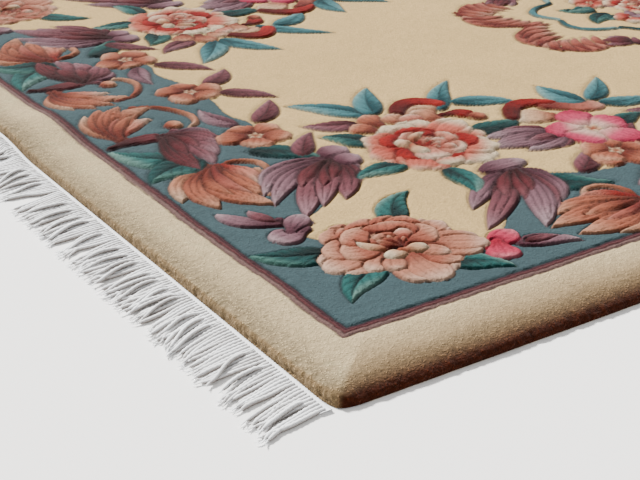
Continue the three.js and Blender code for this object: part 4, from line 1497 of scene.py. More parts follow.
@dataclass
class PileCloth:
    """The carved pile, as several strips of one surface.

    Attributes:
        size: The rug's sizes.
        pattern: The design.
        near_reach: How far from the near corner the finest cells go.
        plain_reach: How far in from the outline the cells are finer than on other plain wool.
        spacing: Distance between the samples of carved lines.
        most_triangles: The most triangles in one strip.
    """

    size: RugSize
    pattern: Pattern
    near_reach: float = 560.0
    plain_reach: float = 125.0
    spacing: float = 1.4
    most_triangles: int = 190_000
    grid: TuftGrid = field(default_factory=TuftGrid)

    def wanted_levels(self, roll: EdgeRoll) -> Array:
        """Works out how fine the cells have to be all over the rug.

        Args:
            roll: The pile's rolled edge.

        Returns:
            The level that each fine cell may have.
        """
        nx, ny = self.grid.cells
        i, j = np.meshgrid(np.arange(nx) + 0.5, np.arange(ny) + 0.5, indexing="ij")
        step_x = (self.size.length - 2 * roll.reach) / (nx - 2 * roll.rows)
        step_y = (self.size.width - 2 * roll.reach) / (ny - 2 * roll.rows)
        x = (i - nx / 2) * step_x
        y = (j - ny / 2) * step_y
        corner = np.hypot(x + self.size.length / 2, y + self.size.width / 2)
        want = np.full((nx, ny), self.grid.coarsest, np.int8)
        edge = np.minimum(np.minimum(i, nx - i), np.minimum(j, ny - j))
        inset = np.minimum(*self.size.insets(x, y))
        want[inset < self.plain_reach] = 2
        want[(inset < self.plain_reach) & (corner < self.near_reach)] = 1
        want[edge < roll.rows + 2] = 1
        want[(edge < roll.rows + 2) & (corner < 0.7 * self.near_reach)] = 0
        blades, spacing = self.pattern.blades, self.spacing
        outlines = np.concatenate([blade.edge_points(spacing) for blade in blades] + [self.ground_lines()])
        strokes = np.concatenate([blade.stroke_points(spacing) for blade in blades])
        for samples, reach, level in ((outlines, 1e4, 1), (strokes, 1.5 * self.near_reach, 1),
                                      (outlines, self.near_reach, 0)):
            drift_x, drift_y = hand_drift(samples[:, 0], samples[:, 1])
            sx, sy = samples[:, 0] - drift_x, samples[:, 1] - drift_y
            near = np.hypot(sx + self.size.length / 2, sy + self.size.width / 2) < reach
            si = np.clip((sx[near] / step_x + nx / 2).astype(int), 0, nx - 1)
            sj = np.clip((sy[near] / step_y + ny / 2).astype(int), 0, ny - 1)
            mask = np.zeros((nx, ny), bool)
            mask[si, sj] = True
            mask = self.grid.spread(mask)
            want[mask] = np.minimum(want[mask], level)
        return want

    def ground_lines(self) -> Array:
        """Samples the guard stripes' lines and the edge of the field, over the whole rug."""
        mid_u, mid_v = self.size.middle
        rows = []
        for inward in (line.place for line in GUARD_LINES):
            u = np.arange(inward, mid_u, 1.5)
            v = np.arange(inward, mid_v, 1.5)
            rows += [np.stack([u, np.full_like(u, inward)], 1), np.stack([np.full_like(v, inward), v], 1)]
        edge = self.pattern.field_edge()
        at = np.concatenate([[0.0], np.hypot(*np.diff(edge, axis=0).T).cumsum()])
        even = np.arange(0.0, at[-1], 1.5)
        rows.append(np.stack([np.interp(even, at, edge[:, 0]), np.interp(even, at, edge[:, 1])], 1))
        quarter = np.concatenate(rows) - np.array([mid_u, mid_v])
        return np.concatenate([quarter * np.array(signs) for signs in QUARTERS])

    def build(self, material: Material) -> list[Object]:
        """Builds the strips.

        Args:
            material: The wool.

        Returns:
            The strips, from the near end.
        """
        roll = EdgeRoll(self.size)
        levels = self.grid.balanced(self.wanted_levels(roll))
        (i, j), corners, counts = self.grid.faces(levels)
        LOG.info("pile: %d cells, %d triangles", len(counts), int((counts - 2).sum()))
        x, y, edge_z, inset = roll.place(i.astype(float), j.astype(float), self.grid.cells)
        wool = CarvedWool(self.size, x, y)
        wool.lay_grounds(self.pattern)
        for blade in self.pattern.blades:
            wool.lay(blade)
        height, colour = wool.finish()
        x, y, z, colour = self.round_edges(x, y, edge_z, height, inset, colour)
        places = np.stack([x, y, z + self.size.lift(x, y)], axis=1) * MM
        normals = self.point_normals(places, corners, counts)
        return self.strips(places, normals, colour, wool.tuft, corners, counts, material)

    def round_edges(self, x: Array, y: Array, edge_z: Array, height: Array, inset: Array,
                    colour: Array) -> tuple[Array, ...]:
        """Joins the flat top to the rolled edge, ruffles the edge's tufts and paints shade on its shoulder
        and foot.

        Args:
            x: Plan positions along the rug.
            y: Plan positions across it.
            edge_z: Heights of the rounded edge there.
            height: Heights of the carved wool there.
            inset: Distances in from the outline.
            colour: Linear colours.

        Returns:
            The moved x and y, the heights and the colours.
        """
        size = self.size
        top = ease((inset - 6.0) / 30.0)
        z = edge_z + (height - size.pile_top) * (0.25 + 0.75 * top)
        # The wall's tufts stand out unevenly and lean away from the rug.
        wall = 1.0 - ease((inset - 2.0) / 20.0)
        from_end, from_side = size.insets(x, y)
        along = np.where(from_end < from_side, y, x)
        ruffle = value_noise(along, edge_z * 1.4, 7.5, 21) * 1.1 + value_noise(along, edge_z, 4.0, 22) * 0.6
        slow = value_noise(along, np.zeros_like(along), 90.0, 23)
        push = (ruffle - 1.3 + slow) * wall * ease((edge_z - 1.5) / 3.0)
        out_x = np.sign(x) * ease((40.0 - from_end) / 34.0)
        out_y = np.sign(y) * ease((40.0 - from_side) / 34.0)
        norm = np.maximum(np.hypot(out_x, out_y), 1.0)
        x = x + push * out_x / norm
        y = y + push * out_y / norm
        z = np.maximum(z + 0.5 * ruffle * wall * (edge_z > 4.0), 0.5)
        # Painted shade: the ends turn tan at the shoulder and foot and the long sides brown, where the
        # rolled edge slopes away from the key light and meets the floor.
        side_share = ease(0.5 + (size.length / 2 - np.abs(x) - size.width / 2 + np.abs(y)) / 16.0)
        sway = 5.0 * value_noise(along, inset, 38.0, 24)
        reach = 24.0 + 84.0 * side_share
        shoulder_shade = (0.16 + 0.64 * side_share) * (1.0 - ease((inset - 6.0 + sway) / reach))
        colour = colour + (linear(Ground.SHOULDER_SHADE.value) - colour) * shoulder_shade[:, None]
        # Painted shade down the wall to the floor, darkest at the foot.
        start = 13.9 - 4.3 * side_share + 0.7 * ruffle * (1.0 - side_share)
        low = (0.84 + 0.15 * side_share) * (1.0 - ease((edge_z - start) / (1.8 + 4.6 * side_share)))
        low *= ease((46.0 - inset) / 30.0)
        end_wall_shade, side_wall_shade = linear(Ground.END_WALL_SHADE.value), linear(Ground.SIDE_WALL_SHADE.value)
        wall_shade = end_wall_shade + (side_wall_shade - end_wall_shade) * side_share[:, None]
        colour = colour + (wall_shade - colour) * low[:, None]
        # Painted shade in the hollows between the wall's tufts, and a faint painted highlight on the tufts
        # that stand out.
        colour *= (1.0 + 0.14 * np.minimum(ruffle, 0.4) * wall)[:, None]
        return x, y, z, colour

    @staticmethod
    def point_normals(places: Array, corners: Array, counts: Array) -> Array:
        """Works out smooth normals over the whole surface, so that strips join unseen.

        Args:
            places: The surface's points, one a row.
            corners: Corners of all faces in turn.
            counts: Corners of each face.

        Returns:
            One normal a row.
        """
        starts = face_starts(counts)
        first, third = corners[starts], corners[starts + counts // 2]
        second, fourth = corners[starts + counts // 4], corners[starts + (3 * counts) // 4]
        normal = np.cross(places[third] - places[first], places[fourth] - places[second])
        total = np.zeros_like(places)
        face = np.repeat(np.arange(len(counts)), counts)
        for k in range(3):
            total[:, k] = np.bincount(corners, normal[face, k], len(places))
        return total / np.maximum(np.linalg.norm(total, axis=1, keepdims=True), 1e-12)

    def strips(self, places: Array, normals: Array, colour: Array, tuft: Array, corners: Array,
               counts: Array, material: Material) -> list[Object]:
        """Cuts the surface across into strips of few enough triangles and makes their objects.

        Args:
            places: The surface's points, one a row, in metres.
            normals: Their normals.
            colour: Their linear colours.
            tuft: The depth of the gaps between tufts there.
            corners: Corners of all faces in turn.
            counts: Corners of each face.
            material: The wool.

        Returns:
            The strips, from the near end.
        """
        starts = face_starts(counts)
        across = places[corners[starts], 0]
        order = np.argsort(across, kind="stable")
        load = (counts[order] - 2).cumsum()
        pieces = int(math.ceil(load[-1] / self.most_triangles))
        bounds = [across[order[min(np.searchsorted(load, load[-1] * k / pieces), len(order) - 1)]]
                  for k in range(1, pieces)]
        part = np.searchsorted(np.array(bounds), across, side="right")
        made = []
        for k in range(pieces):
            faces = np.nonzero(part == k)[0]
            own = np.repeat(part, counts) == k
            used, index = np.unique(corners[own], return_inverse=True)
            mesh = build_mesh(f"pile_strip_{k + 1}", places[used], index, counts[faces])
            mesh.normals_split_custom_set_from_vertices(normals[used].astype(np.float32))
            colour_points(mesh, "wool", np.clip(colour[used], 0.0, 1.0))
            deep = mesh.attributes.new("tuft", "FLOAT", "POINT")
            deep.data.foreach_set("value", tuft[used].astype(np.float32))
            plan_map(mesh, places[used, :2])
            made.append(new_object(f"pile_strip_{k + 1}", mesh, material))
        return made


@dataclass
class Backing:
    """The woven cotton ground that the pile is knotted on, as one thin closed sheet."""

    size: RugSize
    inset: float = 1.6
    bottom: float = 0.0
    top: float = 1.6
    corner_cut: float = 11.0
    steps_along: int = 66
    steps_across: int = 44

    def build(self, material: Material) -> Object:
        """Builds the backing sheet.

        Args:
            material: The cotton.

        Returns:
            The sheet, with its corners cut back under the pile's.
        """
        half_x = self.size.length / 2 - self.inset
        half_y = self.size.width / 2 - self.inset
        nx, ny = self.steps_along, self.steps_across
        x, y = np.meshgrid(np.linspace(-half_x, half_x, nx + 1), np.linspace(-half_y, half_y, ny + 1),
                           indexing="ij")
        x, y = x.ravel(), y.ravel()
        corner = (np.abs(x) > half_x - 1.0) & (np.abs(y) > half_y - 1.0)
        x = np.where(corner, x - np.sign(x) * self.corner_cut, x)
        y = np.where(corner, y - np.sign(y) * self.corner_cut, y)
        lift = self.size.lift(x, y)
        low = np.stack([x, y, lift + self.bottom], 1)
        high = np.stack([x, y, lift + self.top], 1)
        places = np.concatenate([low, high]) * MM
        count = len(x)
        grid = np.arange(count).reshape(nx + 1, ny + 1)
        a = grid[:-1, :-1].ravel()
        upper = np.stack([a, a + ny + 1, a + ny + 2, a + 1], 1) + count
        under = np.stack([a, a + 1, a + ny + 2, a + ny + 1], 1)
        rim = np.concatenate([grid[:, 0], grid[-1, 1:], grid[-2::-1, -1], grid[0, -2:0:-1]])
        after = np.roll(rim, -1)
        sides = np.stack([rim, after, after + count, rim + count], 1)
        faces = np.concatenate([upper, under, sides])
        mesh = build_mesh("backing", places, faces.ravel(), np.full(len(faces), 4))
        plan_map(mesh, places[:, :2])
        return new_object("backing", mesh, material)


@dataclass
class StrandStyle:
    """How an end's fringe is made: its strands, their sizes and how they wander."""

    count: int
    top_count: int
    length: float
    length_spread: float
    radius: float
    sides: int
    steps: int
    clump_spread: float = 8.0
    top_spread: float = 11.0
    root_share: float = 0.4
    ply_pitch: float = 15.0
    ply_depth: float = 0.14
    lean: float = 6.0
    slant: float = -17.0
    clump: int = 7
    wisps: int = 3


@dataclass
class FringeEnd:
    """One end's cotton: the woven strip at the pile's foot and the twisted strands from it."""

    size: RugSize
    side: int
    style: StrandStyle
    strip_gap: float = 0.3
    strip_width: float = 15.0
    strip_top: float = 3.0
    warp_pitch: float = 2.6
    rib_height: float = 0.9
    end_inset: float = 7.0
    seed: int = 40

    def strip(self, name: str, material: Material) -> Object:
        """Builds the woven strip, ribbed across by the warps that run out as strands.

        Args:
            name: The piece's name.
            material: The cotton.

        Returns:
            The strip.
        """
        half = self.size.width / 2 - self.end_inset
        rows = int(2 * half / self.warp_pitch)
        y = np.linspace(-half, half, rows + 1)
        section = [(0.0, 0.2), (0.0, 0.86), (0.1, 1.0), (0.3, 1.02), (0.5, 0.96), (0.7, 1.02), (0.9, 0.9),
                   (1.0, 0.55), (1.02, 0.1)]
        rib = 0.5 * np.cos(2 * math.pi * np.arange(rows + 1) / 2.0)
        rib += 0.22 * value_noise(y, np.zeros_like(y), 9.0, self.seed)
        rim = 0.7 * value_noise(y, np.zeros_like(y), 14.0, self.seed + 1)
        places = []
        inner = self.size.length / 2 + self.strip_gap
        for share, rise in section:
            out = inner + self.strip_width * share + (rim * share if share > 0.8 else 0.0)
            x = self.side * (out + np.zeros_like(y))
            z = self.strip_top * rise + rib * (rise > 0.5) * self.rib_height
            places.append(np.stack([x, y, z + self.size.lift(x, y)], 1))
        count = rows + 1
        places = np.concatenate(places) * MM
        a = (np.arange(len(section) - 1)[:, None] * count + np.arange(rows)).ravel()
        faces = np.stack([a, a + count, a + count + 1, a + 1], 1)
        if self.side < 0:
            faces = faces[:, ::-1]
        mesh = build_mesh(name, places, faces.ravel(), np.full(len(faces), 4))
        plan_map(mesh, places[:, :2])
        colour_points(mesh, "cotton", np.ones((len(places), 3)))
        return new_object(name, mesh, material)

    def centre_lines(self) -> list[Array]:
        """Returns the middle line of each strand, laid on the floor or over its neighbours."""
        style = self.style
        draw = np.random.default_rng(self.seed)
        half = self.size.width / 2 - self.end_inset - 2.0
        pitch = 2 * half / style.count
        roots = -half + pitch * (np.arange(style.count) + 0.5)
        lines = []
        clump_of = np.cumsum(draw.random(style.count) < 1.0 / style.clump)
        clump_lean = draw.normal(0.0, style.clump_spread, clump_of[-1] + 1)
        clump_pull = draw.uniform(0.1, 0.62, clump_of[-1] + 1)
        for k, root in enumerate(roots):
            mates = roots[clump_of == clump_of[k]]
            pull = (mates.mean() - root) * clump_pull[clump_of[k]]
            lines.append(self.one_line(draw, root, pull + clump_lean[clump_of[k]], 0.0))
        for root in draw.uniform(-half, half, style.top_count):
            pull = draw.normal(0.0, style.top_spread)
            lines.append(self.one_line(draw, root, pull, style.radius * 1.7))
        return lines

    def one_line(self, draw: np.random.Generator, root: float, pull: float, over: float) -> Array:
        """Draws one strand's middle line.

        Args:
            draw: The seeded generator.
            root: Where the strand leaves the strip.
            pull: How far its tip is drawn sideways.
            over: How high it lies over the other strands.

        Returns:
            Its points, one a row.
        """
        style = self.style
        t = np.linspace(0.0, 1.0, style.steps + 1)
        length = style.length - style.length_spread * draw.random()
        lean = style.slant + style.lean * math.sin(root / 95.0 + self.side)
        phase = draw.uniform(0.0, 6.28)
        wave = draw.uniform(0.8, 2.4) * np.sin(t * draw.uniform(4.0, 10.0) + phase) * t
        hook = draw.normal(0.0, 5.0) * t ** 3
        y = root + (lean + pull) * t ** 1.4 + wave + hook
        start = style.root_share * self.strip_width
        out = start + (length + self.strip_width - start) * t
        x = self.side * (self.size.length / 2 + self.strip_gap + out)
        strip_z = self.strip_top * 0.86 + self.size.lift(np.array([x[0]]), np.array([root]))[0]
        settle = ease((out - 0.9 * self.strip_width) / 14.0)
        rest = style.radius * 0.95 + over * np.sin(math.pi * np.clip(t, 0, 0.9))
        z = strip_z * (1 - settle) + rest * settle
        z += 0.5 * np.abs(np.sin(t * 6.0 + phase)) * (over > 0)
        return np.stack([x, y, z], 1)

    def strands(self, name: str, material: Material) -> Object:
        """Builds all strands of the end as one mesh, each with its two plies and frayed tip, and painted
        shade on their sides and undersides.

        Args:
            name: The piece's name.
            material: The cotton.

        Returns:
            The strands.
        """
        style = self.style
        draw = np.random.default_rng(self.seed + 7)
        places, faces, colours = [], [], []
        total = 0
        for line in self.centre_lines():
            radius = style.radius * draw.uniform(0.85, 1.12)
            tone = draw.uniform(0.78, 1.0)
            rings = self.tube(line, radius, style, draw.uniform(0, 6.28))
            count = len(line)
            places.append(rings.reshape(-1, 3))
            # Painted shade on each strand's sides and underside, where it meets its neighbours and the
            # floor; it turns warmer as it deepens.
            depth = (line[:, 2, None] - rings[..., 2]) / radius
            painted_shade = tone * (1.0 - 0.7 * ease((depth + 0.75) / 0.8))
            colours.append(painted_shade.ravel())
            faces.append(self.tube_faces(count, style.sides) + total)
            total += count * style.sides
            for _ in range(style.wisps):
                wisp = self.wisp(line[-1], line[-1] - line[-3], radius, draw)
                places.append(wisp.reshape(-1, 3))
                colours.append(np.full(len(wisp) * 3, tone))
                faces.append(self.tube_faces(len(wisp), 3) + total)
                total += len(wisp) * 3
        places, painted_shade = np.concatenate(places), np.concatenate(colours)
        places[:, 2] = np.maximum(places[:, 2], 0.05)
        quads = np.concatenate(faces)
        if self.side > 0:
            quads = quads[:, ::-1]
        mesh = build_mesh(name, places * MM, quads.ravel(), np.full(len(quads), 4))
        plan_map(mesh, places[:, :2])
        colour_points(mesh, "cotton", painted_shade[:, None] ** np.array(WARM_SHADOW))
        return new_object(name, mesh, material)

    @staticmethod
    def tube(line: Array, radius: float, style: StrandStyle, phase: float) -> Array:
        """Lays rings of points round a line, with two twisted plies and a tapering tip.

        Args:
            line: Points of the middle line, one a row.
            radius: The strand's radius.
            style: How the fringe is made.
            phase: Turn of the plies at the root, in radians.

        Returns:
            The points, by ring and by place on it.
        """
        step = np.gradient(line, axis=0)
        step /= np.linalg.norm(step, axis=1, keepdims=True)
        across = np.cross(step, (0.0, 0.0, 1.0))
        across /= np.linalg.norm(across, axis=1, keepdims=True)
        up = np.cross(across, step)
        along = np.concatenate([[0.0], np.linalg.norm(np.diff(line, axis=0), axis=1).cumsum()])
        turn = np.arange(style.sides) * 2 * math.pi / style.sides
        twist = 2 * math.pi * along / style.ply_pitch + phase
        share = along / along[-1]
        taper = radius * (0.78 + 0.22 * ease(share / 0.2))
        taper *= 1 - 0.45 * ease((share - 0.86) / 0.14)
        taper[-1] *= 0.3
        wide = taper[:, None] * (1 + style.ply_depth * np.cos(2 * (turn[None, :] - twist[:, None])))
        return line[:, None, :] + wide[..., None] * (
            np.cos(turn)[None, :, None] * across[:, None, :] + np.sin(turn)[None, :, None] * up[:, None, :])

    @staticmethod
    def tube_faces(rings: int, sides: int) -> Array:
        """Returns the faces of a tube of rings of points."""
        k = np.arange(rings - 1)[:, None] * sides
        a = k + np.arange(sides)
        b = k + (np.arange(sides) + 1) % sides
        return np.stack([a, b, b + sides, a + sides], axis=2).reshape(-1, 4)

    @staticmethod
    def wisp(tip: Array, heading: Array, radius: float, draw: np.random.Generator) -> Array:
        """Makes one frayed thread at a strand's tip.

        Args:
            tip: The strand's last point.
            heading: The way it points.
            radius: The strand's radius.
            draw: The seeded generator.

        Returns:
            Rings of three points.
        """
        heading = heading / np.linalg.norm(heading)
        length = draw.uniform(4.0, 9.0)
        spread = draw.normal(0.0, 0.4)
        t = np.linspace(-0.35, 1.0, 4)[:, None]
        side = np.array([-heading[1], heading[0], 0.0])
        line = tip + heading * length * t + side * spread * length * t * np.abs(t)
        line[:, 2] = np.maximum(line[:, 2] + draw.normal(0.0, 0.3) * t[:, 0], 0.4)
        wide = radius * np.array([0.55, 0.42, 0.28, 0.06])
        turn = np.arange(3) * 2 * math.pi / 3
        offset = np.cos(turn)[:, None] * side + np.sin(turn)[:, None] * np.array([0.0, 0.0, 1.0])
        return line[:, None, :] + wide[:, None, None] * offset[None, :, :]


class NodeKit:
    """Short ways to add and join shader nodes in one tree."""

    def __init__(self, tree: NodeTree) -> None:
        """Keeps the tree."""
        self.tree = tree

    def add(self, kind: str, **values: object) -> Node:
        """Adds a node and sets its properties by name."""
        node = self.tree.nodes.new(kind)
        for key, value in values.items():
            setattr(node, key, value)
        return node

    def join(self, start: NodeSocket, end: NodeSocket) -> None:
        """Joins two sockets."""
        self.tree.links.new(start, end)

    def noise(self, vector: NodeSocket, scale: NodeSocket, detail: float) -> NodeSocket:
        """Adds a noise texture.

        Args:
            vector: Where it is read.
            scale: Its scale.
            detail: Its detail.

        Returns:
            Its value.
        """
        node = self.add("ShaderNodeTexNoise")
        node.inputs["Detail"].default_value = detail
        node.inputs["Roughness"].default_value = 0.6
        self.join(vector, node.inputs["Vector"])
        self.join(scale, node.inputs["Scale"])
        return node.outputs[0]

    def maths(self, operation: str, a: object, b: object) -> NodeSocket:
        """Adds a Math node.

        Args:
            operation: Its operation.
            a: Its first socket or number.
            b: The second one.

        Returns:
            Its output.
        """
        node = self.add("ShaderNodeMath", operation=operation)
        for socket, value in zip(node.inputs, (a, b)):
            if isinstance(value, NodeSocket):
                self.join(value, socket)
            else:
                socket.default_value = value
        return node.outputs[0]


def yarn_group() -> NodeTree:
    """Builds the shared yarn effect: tufts with painted shade in the gaps between them, and fibres on the
    tufts.

    Returns:
        The node group, which gives a shade and a height.
    """
    tree = bpy.data.node_groups.new("yarn", "ShaderNodeTree")
    face = tree.interface
    for name, value in (("Tuft size", 0.004), ("Fibre size", 0.001), ("Mottle", 0.1), ("Gaps", 0.0),
                        ("Stretch", 1.0)):
        face.new_socket(name, in_out="INPUT", socket_type="NodeSocketFloat").default_value = value
    face.new_socket("Shade", in_out="OUTPUT", socket_type="NodeSocketFloat")
    face.new_socket("Height", in_out="OUTPUT", socket_type="NodeSocketFloat")
    kit = NodeKit(tree)
    inputs, outputs = kit.add("NodeGroupInput"), kit.add("NodeGroupOutput")
    where = kit.add("ShaderNodeTexCoord")
    scale = kit.add("ShaderNodeCombineXYZ")
    scale.inputs["X"].default_value = 1.0
    scale.inputs["Z"].default_value = 1.0
    kit.join(inputs.outputs["Stretch"], scale.inputs["Y"])
    drawn = kit.add("ShaderNodeVectorMath", operation="MULTIPLY")
    kit.join(where.outputs["Object"], drawn.inputs[0])
    kit.join(scale.outputs[0], drawn.inputs[1])
    tufts = kit.noise(drawn.outputs[0], kit.maths("DIVIDE", 1.0, inputs.outputs["Tuft size"]), 2.0)
    fibres = kit.noise(drawn.outputs[0], kit.maths("DIVIDE", 1.0, inputs.outputs["Fibre size"]), 3.0)
    knots = kit.add("ShaderNodeTexVoronoi", feature="F1")
    knots.inputs["Detail"].default_value = 1.0
    knots.inputs["Roughness"].default_value = 0.6
    kit.join(drawn.outputs[0], knots.inputs["Vector"])
    kit.join(kit.maths("DIVIDE", 0.8, inputs.outputs["Tuft size"]), knots.inputs["Scale"])
    far = kit.maths("MAXIMUM", kit.maths("SUBTRACT", knots.outputs["Distance"], 0.42), 0.0)
    gap = kit.maths("MINIMUM", kit.maths("MULTIPLY", far, 3.4), 1.0)
    gap = kit.maths("MULTIPLY", gap, inputs.outputs["Gaps"])
    both = kit.maths("ADD", kit.maths("MULTIPLY", tufts, 0.65), kit.maths("MULTIPLY", fibres, 0.35))
    clumps = kit.noise(drawn.outputs[0], kit.maths("DIVIDE", 0.45, inputs.outputs["Tuft size"]), 2.0)
    rough = kit.maths("MULTIPLY", kit.maths("SUBTRACT", clumps, 0.5), inputs.outputs["Gaps"])
    swing = kit.maths("MULTIPLY", kit.maths("SUBTRACT", both, 0.5), inputs.outputs["Mottle"])
    swing = kit.maths("ADD", kit.maths("MULTIPLY", swing, 4.0), kit.maths("MULTIPLY", rough, 1.1))
    # Painted shade in the gaps between tufts.
    dark = kit.maths("SUBTRACT", 1.0, kit.maths("MULTIPLY", gap, 0.5))
    kit.join(kit.maths("MULTIPLY", kit.maths("ADD", swing, 1.0), dark), outputs.inputs["Shade"])
    both = kit.maths("ADD", both, rough)
    kit.join(kit.maths("SUBTRACT", both, kit.maths("MULTIPLY", gap, 0.5)), outputs.inputs["Height"])
    return tree


@dataclass(frozen=True)
class Finish:
    """A matt yarn finish.

    Attributes:
        name: The material's name.
        layer: The colour attribute that it reads, if any.
        colour: Its own colour, which tints the attribute.
        tuft: Size of the tufts, in metres.
        fibre: Size of the fibres, in metres.
        mottle: How much the colour varies.
        bump: Depth of the relief, in metres.
        gaps: The attribute that tells how deep the gaps between tufts are, and so how much painted shade
            they take, if any.
        stretch: How much finer the pattern is across the rug.
        sheen: Weight of the soft sheen.
        gloss: Strength of the plain reflection.
        roughness: The shader's roughness.
    """

    name: str
    layer: str
    colour: tuple[int, int, int]
    tuft: float
    fibre: float
    mottle: float
    bump: float
    gaps: str = ""
    stretch: float = 1.0
    sheen: float = 0.03
    gloss: float = 0.08
    roughness: float = 0.95

    def material(self, group: NodeTree) -> Material:
        """Builds the material round the shared yarn effect.

        Args:
            group: The yarn group.

        Returns:
            The material.
        """
        made = bpy.data.materials.new(self.name)
        made.use_nodes = True
        kit = NodeKit(made.node_tree)
        made.node_tree.nodes.clear()
        out = kit.add("ShaderNodeOutputMaterial")
        shader = kit.add("ShaderNodeBsdfPrincipled")
        kit.join(shader.outputs[0], out.inputs[0])
        yarn = kit.add("ShaderNodeGroup")
        yarn.node_tree = group
        for name, value in (("Tuft size", self.tuft), ("Fibre size", self.fibre),
                            ("Mottle", self.mottle), ("Stretch", self.stretch)):
            yarn.inputs[name].default_value = value
        if self.gaps:
            gaps = kit.add("ShaderNodeAttribute", attribute_name=self.gaps)
            kit.join(gaps.outputs["Fac"], yarn.inputs["Gaps"])
        # A Mix node's two colours are its inputs 6 and 7, and their product is its output 2.
        tint = kit.add("ShaderNodeMix", data_type="RGBA", blend_type="MULTIPLY")
        tint.inputs["Factor"].default_value = 1.0
        tint.inputs[6].default_value = (*linear(self.colour), 1.0)
        if self.layer:
            dyed = kit.add("ShaderNodeAttribute", attribute_name=self.layer)
            kit.join(dyed.outputs["Color"], tint.inputs[7])
        else:
            tint.inputs[7].default_value = (1.0, 1.0, 1.0, 1.0)
        shaded = kit.add("ShaderNodeVectorMath", operation="SCALE")
        kit.join(tint.outputs[2], shaded.inputs[0])
        kit.join(yarn.outputs["Shade"], shaded.inputs["Scale"])
        kit.join(shaded.outputs[0], shader.inputs["Base Color"])
        bump = kit.add("ShaderNodeBump")
        bump.inputs["Strength"].default_value = 1.0
        bump.inputs["Distance"].default_value = self.bump
        kit.join(yarn.outputs["Height"], bump.inputs["Height"])
        kit.join(bump.outputs[0], shader.inputs["Normal"])
        shader.inputs["Roughness"].default_value = self.roughness
        shader.inputs["Specular IOR Level"].default_value = self.gloss
        shader.inputs["Sheen Weight"].default_value = self.sheen
        shader.inputs["Sheen Roughness"].default_value = 0.5
        return made


WOOL = Finish("cut wool pile", "wool", (184, 184, 184), 0.0034, 0.0011, 0.2, 0.0022, "tuft")
COTTON = Finish("twisted cotton", "cotton", (248, 251, 255), 0.003, 0.0007, 0.1, 0.0006, stretch=2.0,
                sheen=0.1, roughness=0.85)
CANVAS = Finish("cotton backing", "", (206, 196, 176), 0.0026, 0.0008, 0.14, 0.0006)


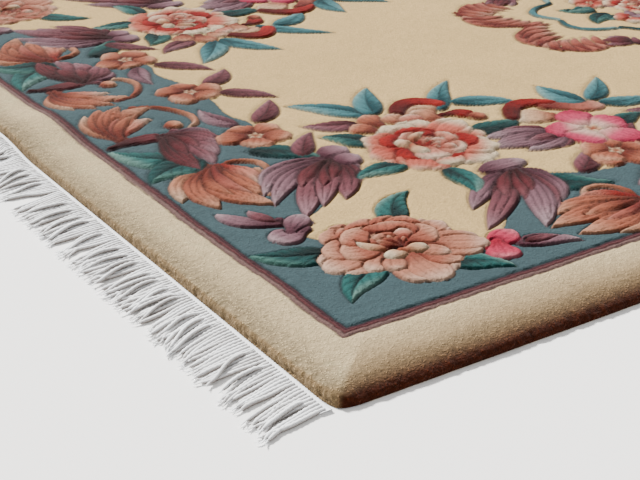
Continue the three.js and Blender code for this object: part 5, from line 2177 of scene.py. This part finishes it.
@dataclass(frozen=True)
class Studio:
    """The floor, the light and the camera.

    Attributes:
        size: The rug's sizes.
        height: The camera's height above the pile.
        back: How far behind the guard stripe's corner it stands, along the rug.
        aside: How far beside that corner it stands, across the rug.
        heading: The way it looks over the floor, in degrees from the rug's length.
        pitch: How far it looks down, in degrees.
        lens: Focal length on a 36 mm wide sensor.
        bearing: The way to the key light over the floor, in degrees from the rug's length.
        rise: The key light's height over the floor, in degrees.
        softness: How wide the key light looks, in degrees.
        key: The key light's strength.
        fill: The surroundings' strength.
    """

    size: RugSize
    height: float = 685.0
    back: float = 684.0
    aside: float = 997.0
    heading: float = 56.7
    pitch: float = 25.2
    lens: float = 72.05
    bearing: float = 102.0
    rise: float = 38.0
    softness: float = 9.0
    key: float = 12.4
    fill: float = 0.7

    def camera(self) -> None:
        """Places the camera at the photo's point of view."""
        data = bpy.data.cameras.new("camera")
        data.lens = self.lens
        data.sensor_width = 36.0
        data.clip_start = 0.05
        data.clip_end = 60.0
        cam = bpy.data.objects.new("camera", data)
        bpy.context.scene.collection.objects.link(cam)
        corner_x = -self.size.length / 2 + self.size.end_border
        corner_y = -self.size.width / 2 + self.size.side_border
        cam.location = ((corner_x - self.back) * MM, (corner_y - self.aside) * MM,
                        (self.size.pile_top + self.height) * MM)
        cam.rotation_euler = (math.radians(90.0 - self.pitch), 0.0, math.radians(self.heading - 90.0))
        bpy.context.scene.camera = cam

    def floor(self) -> None:
        """Lays a plain pale floor under the rug."""
        mesh = bpy.data.meshes.new("floor")
        reach = 30.0
        mesh.from_pydata([(-reach, -reach, 0), (reach, -reach, 0), (reach, reach, 0), (-reach, reach, 0)],
                         [], [(0, 1, 2, 3)])
        material = bpy.data.materials.new("pale floor")
        material.use_nodes = True
        shader = material.node_tree.nodes["Principled BSDF"]
        shader.inputs["Base Color"].default_value = (*linear(Ground.FLOOR.value), 1.0)
        shader.inputs["Roughness"].default_value = 0.9
        new_object("floor", mesh, material)

    def lights(self) -> None:
        """Sets one soft sun from behind the rug's fringed side and pale, even surroundings."""
        world = bpy.data.worlds.new("studio")
        bpy.context.scene.world = world
        world.use_nodes = True
        background = world.node_tree.nodes["Background"]
        background.inputs["Color"].default_value = (1.0, 0.985, 0.97, 1.0)
        background.inputs["Strength"].default_value = self.fill
        data = bpy.data.lights.new("key", "SUN")
        data.angle = math.radians(self.softness)
        data.energy = self.key
        data.color = (1.0, 0.97, 0.92)
        lamp = bpy.data.objects.new("key", data)
        bpy.context.scene.collection.objects.link(lamp)
        lamp.location = (0.0, 0.0, 3.0)
        lamp.rotation_euler = (math.radians(90.0 - self.rise), 0.0, math.radians(self.bearing + 90.0))


def dress(piece: Object, slot: str, *nodes: str) -> Object:
    """Makes a piece ride on the rug and stand for solids.

    Args:
        piece: The piece.
        slot: The record's material slot; not used.
        *nodes: The solids that it stands for.

    Returns:
        The same piece.
    """
    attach(piece, "root")
    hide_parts(*nodes)
    LOG.info("%s: %d faces", piece.name, len(piece.data.polygons))
    return piece


def main() -> None:
    """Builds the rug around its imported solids, then the studio."""
    logging.basicConfig(level=logging.INFO, format="%(message)s")
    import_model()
    size = RugSize.from_frame()
    pattern = Pattern(size)
    pattern.lay_out()
    LOG.info("pattern: %d blades", len(pattern.blades))
    yarn = yarn_group()
    wool, cotton, canvas = (finish.material(yarn) for finish in (WOOL, COTTON, CANVAS))

    pile = PileCloth(size, pattern).build(wool)
    for strip in pile:
        dress(strip, "wool_pile", "rug_pile")
    backing = dress(Backing(size).build(canvas), "wool_pile", "rug_pile")
    near = FringeEnd(size, -1, StrandStyle(318, 60, 72.0, 12.0, 2.55, 6, 22), seed=40)
    far = FringeEnd(size, 1, StrandStyle(318, 30, 72.0, 12.0, 2.6, 4, 11, wisps=1), seed=60)
    for end, name in ((near, "fringe_near"), (far, "fringe_far")):
        dress(end.strip(f"{name}_strip", cotton), "cotton_fringe", name)
        dress(end.strands(f"{name}_strands", cotton), "cotton_fringe", name)

    studio = Studio(size)
    studio.floor()
    studio.lights()
    studio.camera()


if __name__ == "__main__":
    main()
